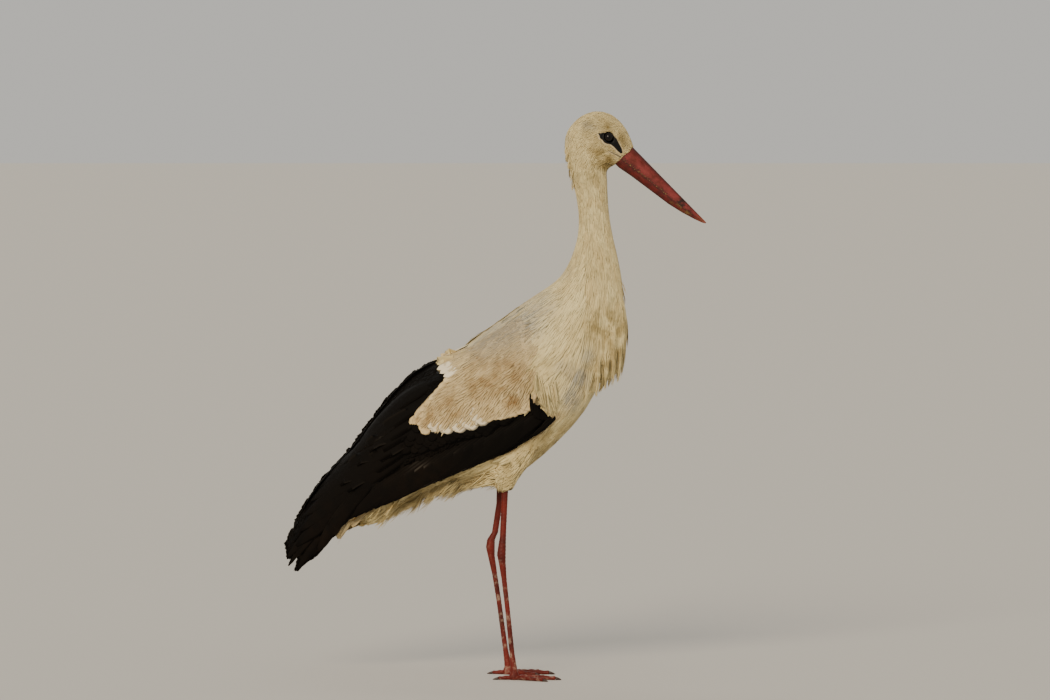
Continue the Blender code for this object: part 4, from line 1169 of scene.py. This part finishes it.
def long_feathers(specs, sign, seed, first, last):
    """Long feathers from root and tip, each x, z and, where it isn't seen from the side, y, in mm."""
    shares = FLIGHT[0]
    rng = np.random.default_rng(seed)
    laid = {key: [] for key in ("line", "upward", "height", "half", "wide")}
    for root, tip, wide, level, bow in specs:
        start, end = np.array(root[:2], float), np.array(tip[:2], float)
        across = np.array((end[1] - start[1], start[0] - end[0])) / np.linalg.norm(end - start)
        seen = start + (end - start) * shares[:, None] + across * (bow * 4 * shares * (1 - shares))[:, None]
        if len(root) > 2:
            y = (root[2] + (tip[2] - root[2]) * shares) * sign
            guide = np.stack([seen[:, 0], y, seen[:, 1]], 1) * MM
        else:
            guide = []
            for x, z in seen * MM:
                hit = from_side(x, z, sign)
                guide.append((x, hit.y if hit is not None else guide[-1][1] if guide else sign * 0.03, z))
            guide = np.array(guide)
        spots, normals, faces, gaps = outer.nearest(guide)
        held = gaps < 8 * MM
        for k in range(1, len(held)):
            if not held[k]:
                normals[k] = normals[k - 1]
        laid["line"].append(np.where(held[:, None], spots, guide))
        laid["upward"].append(normals)
        rise = np.clip((shares - first) / (last - first), 0, 1)
        laid["height"].append((-2.2 + (level + 2.2) * rise * rise * (3 - 2 * rise)) * MM)
        laid["half"].append(wide * MM / 2 * FLIGHT[1] * rng.uniform(0.95, 1.05))
        laid["wide"].append(wide * MM)
    return {key: np.array(values) for key, values in laid.items()}


for side, sign in SIDES:
    laid = coat([f"scapulars_{side}", f"coverts_{side}"], ROUND, 61, spin=0.08)
    tips = laid["line"][:, -1]
    above = tips[:, 2] / MM - np.interp(tips[:, 0] / MM, *np.array(COVERT_EDGE, float).T)
    clear = (within(tips, WHITE_WING) | (white_at(tips) & (tips[:, 0] > -70 * MM))) & (above > 20)
    clear &= (outside_chain(tips, NOTCH) > 9) & ~dark_at(tips)
    settings = dict(columns=5, ragged=0.35, cling=True, tips=0.5)
    lay(f"covert_feathers_{side}", laid, WHITE_VANE, 62, clear, 0.03, **settings)
    rows = []
    for k, (step, length, wide) in enumerate(((0, 44, 17), (17, 42, 29), (14, 40, 23), (13, 38, 21))):
        spots = along_edge(COVERT_EDGE[:7], step, np.array((0.78, 0.62)) * (2 + 13 * k), 0.5) if k else None
        if not k:
            spots = np.concatenate([along_edge(*STRETCHES[n], np.array((1.5, 1.2))) for n in (0, 2)])
        tips = on_side(spots, sign)
        tips = tips[within(tips, WHITE_WING)]
        room = np.minimum(outside_chain(tips, STRAIGHT_EDGE), outside_chain(tips, NOTCH))
        room = np.clip(2 * room + 4, 6, wide) * MM
        rows.append(tipped_row(tips, length * MM, room, (1.3 - 0.25 * k) * MM, 63 + k, 1.4 * MM))
    # more of them along the straight upper edge
    for k in (2, 1, 0):
        spots = along_edge([(-137, 412), (-80, 484)], 12, np.array((0.78, -0.62)) * (2 + 11 * k), 0.5 * (k % 2))
        tips = on_side(spots, sign)
        rows.append(tipped_row(tips, 44 * MM, (14 + 5 * k) * MM, (1.4 - 0.2 * k) * MM, 70 + k, 0.8 * MM))
    settings.update(columns=7, tips=0.75)
    lay(f"covert_edge_{side}", joined(rows), WHITE_VANE, 66, None, 0.04, tone=0.1, **settings)
    rows = []
    for k in (1, 0):
        spots = along_edge(*STRETCHES[1], np.array((0.78, 0.62)) * (1.5 + 7 * k), 0.5 * k)
        rows.append(tipped_row(on_side(spots, sign), 46 * MM, 31 * MM, (1.7 - 0.3 * k) * MM, 92 + k, 0.6 * MM))
    lay(f"covert_tips_{side}", joined(rows), WHITE_EDGE, 94, None, 0.04, tone=0.1, **settings)
    lobe = []
    for x0, z0, x1, z1 in BEND:
        root, tip = on_side([(x0, z0), (x1, z1)], sign) / MM
        lobe.append((tuple(root), (tip[0], tip[1] + sign * 1.2, tip[2]), 7, 44))
    tufts(f"bend_feathers_{side}", lobe, 3.0, 90, 0.02, 0.24)
    # the white tips of the scapulars above the straight edge
    specs = []
    for k, (x, z) in enumerate(((-82, 484), (-89, 489), (-93, 495))):
        specs.append(((x + 48, z + 26 - 5 * k), (x, z), 21, 1.5 + 0.1 * k, 2))
    laid = long_feathers(specs, sign, 67, 0.1, 0.6)
    lay(f"scapular_edge_{side}", laid, WHITE_EDGE, 68, None, 0.04, tone=0.15, **settings)
    # hair-fine outer barbs that lie over all of them, higher over the big ones at the edges, and soften them
    laid = coat([f"scapulars_{side}", f"coverts_{side}"], LANCE, 69, spacing=0.55, size=0.6, broad=0.2, spin=0.1)
    more = coat([f"tertials_{side}", f"secondaries_{side}"], LANCE, 69, spacing=0.45, size=0.4, broad=0.17, spin=0.1)
    laid = joined([laid, more])
    middle = laid["line"][:, 2]
    edge = [(x, z, 0) for x, z in COVERT_EDGE]
    rim = np.minimum(outside_chain(middle, edge), outside_chain(middle, STRAIGHT_EDGE))
    laid["height"] += (0.45 + 1.5 * np.clip(1.3 - rim / 42, 0, 1))[:, None] * MM
    tips = laid["line"][:, -1]
    clear = within(tips, WHITE_WING) | (white_at(tips) & (tips[:, 0] > -70 * MM))
    clear |= (outside_chain(tips, edge) < 3.2) & within(middle, WHITE_WING)
    clear &= (laid["line"][:, 0, 2] > tips[:, 2]) & (rim > np.random.default_rng(95).uniform(3, 15, len(rim)))
    clear &= outside_chain(tips, NOTCH) > 3
    lay(f"covert_down_{side}", laid, WHITE_VANE, 69, clear, 0.02, tone=0.1, tips=0.4)

# -------- the black feathers
# Black greater coverts below the white ones, long secondaries whose tips make the wing's lower edge, broad
# tertials over the rump, and the narrow, pointed primaries behind. Short black feathers cover the inner sides.

# the lower edge of the folded wing, from front to back: x and z in mm
LOWER_EDGE = [
    (95, 417), (60, 387), (26, 370), (-4, 358), (-38, 342), (-75, 327), (-125, 306), (-159, 289), (-203, 272),
    (-243, 254), (-264, 229), (-284, 203),
]

# From here on, each feather's root and tip, its width, how high it lies and how far it bows, all in mm. Small ones
# fill the notch between the white coverts and the bend, and the black's front corner.
BEND_COVERTS = [
    ((55, 464), (55.5, 434), 2.6, 1.8, 0), ((57, 455), (58.5, 427), 5.0, 1.8, 0), ((60, 448), (64, 421), 7, 1.7, 0),
    ((64, 443), (69, 419), 8, 1.7, 0), ((67, 438), (75, 417), 9, 1.6, 0), ((73, 433), (83, 414), 8, 1.6, 0),
    ((99, 425), (66, 397), 8, 1.9, -1), ((96, 424), (58, 392), 9, 1.7, -1), ((93, 423), (72, 405), 9, 1.7, 0),
]
PRIMARIES = [(-335, 190), (-331, 181), (-320, 170), (-309, 180), (-296, 191)]
PRIMARIES = [((2 * k - 190, 2 * k + 338), tip, 18 - k, 0.2 + 0.2 * (4 - k), 5) for k, tip in enumerate(PRIMARIES)]
TERTIALS = [
    ((-80, 388), (-318, 212), 32, 1.5, 8), ((-80, 402), (-312, 236), 34, 1.7, 9), ((-78, 416), (-304, 260), 36, 1.9, 9),
    ((-74, 430), (-293, 284), 36, 2.1, 9), ((-70, 444), (-279, 306), 36, 2.3, 9), ((-66, 458), (-263, 326), 36, 2.5, 9),
    ((-60, 482), (-240, 344), 38, 3.1, 11), ((-62, 500), (-215, 376), 34, 3.3, 12),
]

SECONDARIES = []
for k, (x, z) in enumerate(along_edge(LOWER_EDGE[3:], 17, (0, 0))):
    slant = (0.80, 0.60) if x > -246 else (0.61, 0.79)
    SECONDARIES.append(((x + slant[0] * 180, z + slant[1] * 180), (x - 2, z - 1), 24, 0.1 + 0.14 * k, 5))

for side, sign in SIDES:
    nodes = [node for node in BLACK_NODES if node.endswith(side)]
    settings = dict(first=BROWN, second=SILVER)
    laid = coat(nodes, LANCE, 71, spacing=0.6, size=0.5, broad=0.55, spin=0.04, base=-1.3 * MM)
    clear = ~white_at(laid["line"][:, -1]) & ~white_at(laid["line"][:, 2])
    lay(f"black_under_{side}", laid, BLACK_VANE, 72, clear, 0.02, **settings)
    settings.update(columns=5, cling=True)
    rows = []
    for k in (4, 3, 2, 1):
        spots = along_edge(COVERT_EDGE[:7], 15, np.array((-0.86, -0.51)) * 15 * k, 0.5 * (k % 2))
        tips = on_side(spots, sign)
        tips = tips[~white_at(tips)]
        rows.append(tipped_row(tips, 66 * MM, 24 * MM, (0.7 - 0.12 * k) * MM, 73 + k))
    lay(f"greater_coverts_{side}", joined(rows), BLACK_VANE, 77, None, 0.03, **settings)
    for name, specs, seed, first, last, camber in (
        ("bend_coverts", BEND_COVERTS, 96, 0.0, 0.2, 0.03),
        ("secondaries_feathers", SECONDARIES, 78, 0.25, 0.6, 0.06),
        ("primaries_feathers", PRIMARIES, 80, 0.1, 0.5, 0.08),
        ("tertials_feathers", TERTIALS, 82, 0.22, 0.5, 0.05),
    ):
        laid = long_feathers(specs, sign, seed, first, last)
        lay(f"{name}_{side}", laid, BLACK_VANE, seed + 1, None, camber, **settings)

# -------- the feathers over the rump
# The innermost scapulars and tertials of both wings meet over the back and close the slot between the folded
# wings. They are rooted on either side in turn, and each lies over the next one behind it.


def over_the_slot(starts, length, wide, top, seed):
    """Long feathers over the slot between the wings, from how far along its brim each one starts, in mm."""
    # the brim's height is the highest of three places across it, as one of them may be down in the slot
    brim = []
    for x in range(-36, -331, -6):
        hits = [outer.tree.ray_cast((x * MM, y * MM, 1.2), (0, 0, -1))[0] for y in (9, 13, 17)]
        brim.append((x * MM, max(hit.z for hit in hits if hit is not None)))
    brim = np.array(brim)
    run = np.concatenate([[0], np.cumsum(np.linalg.norm(np.diff(brim, axis=0), axis=1))])
    rng = np.random.default_rng(seed)
    shares = FLIGHT[0]
    laid = {key: [] for key in ("line", "upward", "height", "half", "wide")}
    for k, start in enumerate(starts):
        stops = (start + length * shares) * MM
        places = [np.interp(stops + d * MM, run, brim[:, n]) for d in (-6, 0, 6) for n in (0, 1)]
        x, z = places[2:4]
        ahead = unit(np.stack([places[4] - places[0], places[5] - places[1]], 1))
        y = (1 if k % 2 else -1) * (9 - 7 * shares + rng.normal(0, 0.8)) * MM
        laid["line"].append(np.stack([x, y, z], 1))
        laid["upward"].append(np.stack([ahead[:, 1], np.zeros(len(x)), -ahead[:, 0]], 1))
        laid["height"].append((-2.5 + (top - 0.09 * k + 2.5) * np.clip(shares / 0.4, 0, 1)) * MM)
        laid["half"].append(wide * MM / 2 * FLIGHT[1] * rng.uniform(0.92, 1.08))
        laid["wide"].append(wide * MM)
    return {key: np.array(values) for key, values in laid.items()}


settings = dict(columns=7, ragged=0.3)
laid = over_the_slot(range(50, 311, 20), 118, 27, 1.6, 98)
lay("rump_tertials", laid, BLACK_VANE, 99, None, 0.08, first=BROWN, second=SILVER, **settings)
laid = over_the_slot((0, 6, 12, 18, 22), 54, 25, 2.3, 100)
lay("rump_scapulars", laid, WHITE_EDGE, 101, None, 0.06, tone=0.1, **settings)

# -------- the tail
# A short, white, squarish tail, almost hidden under the folded wings. Its feathers lie fanned over each other.

TAIL_TIPS = [(-28, -246, 228), (-19, -251, 220), (-8, -253, 214), (8, -253, 214), (19, -251, 220), (28, -246, 228)]
specs = []
for k, (y, x, z) in enumerate(TAIL_TIPS):
    specs.append(((-150, 372, y * 0.4), (x, z, y), 21, 0.3 + 0.2 * (3 - abs(k - 2.5)), 4))
for y in (-28.5, 28.5):
    specs.append(((-186, 286, y * 0.8), (-244, 227, y), 13, 2.2, 2))
laid = long_feathers(specs, 1, 84, 0.0, 0.4)
lay("tail_top_feathers", laid, WHITE_VANE, 85, None, 0.05, columns=5, cling=True)
laid = coat(["tail"], LANCE, 86, spacing=0.6, size=0.7, broad=0.7, spin=0.06)
lay("tail_feathers", laid, WHITE_VANE, 87, None, 0.05)

bpy.data.objects.remove(form)
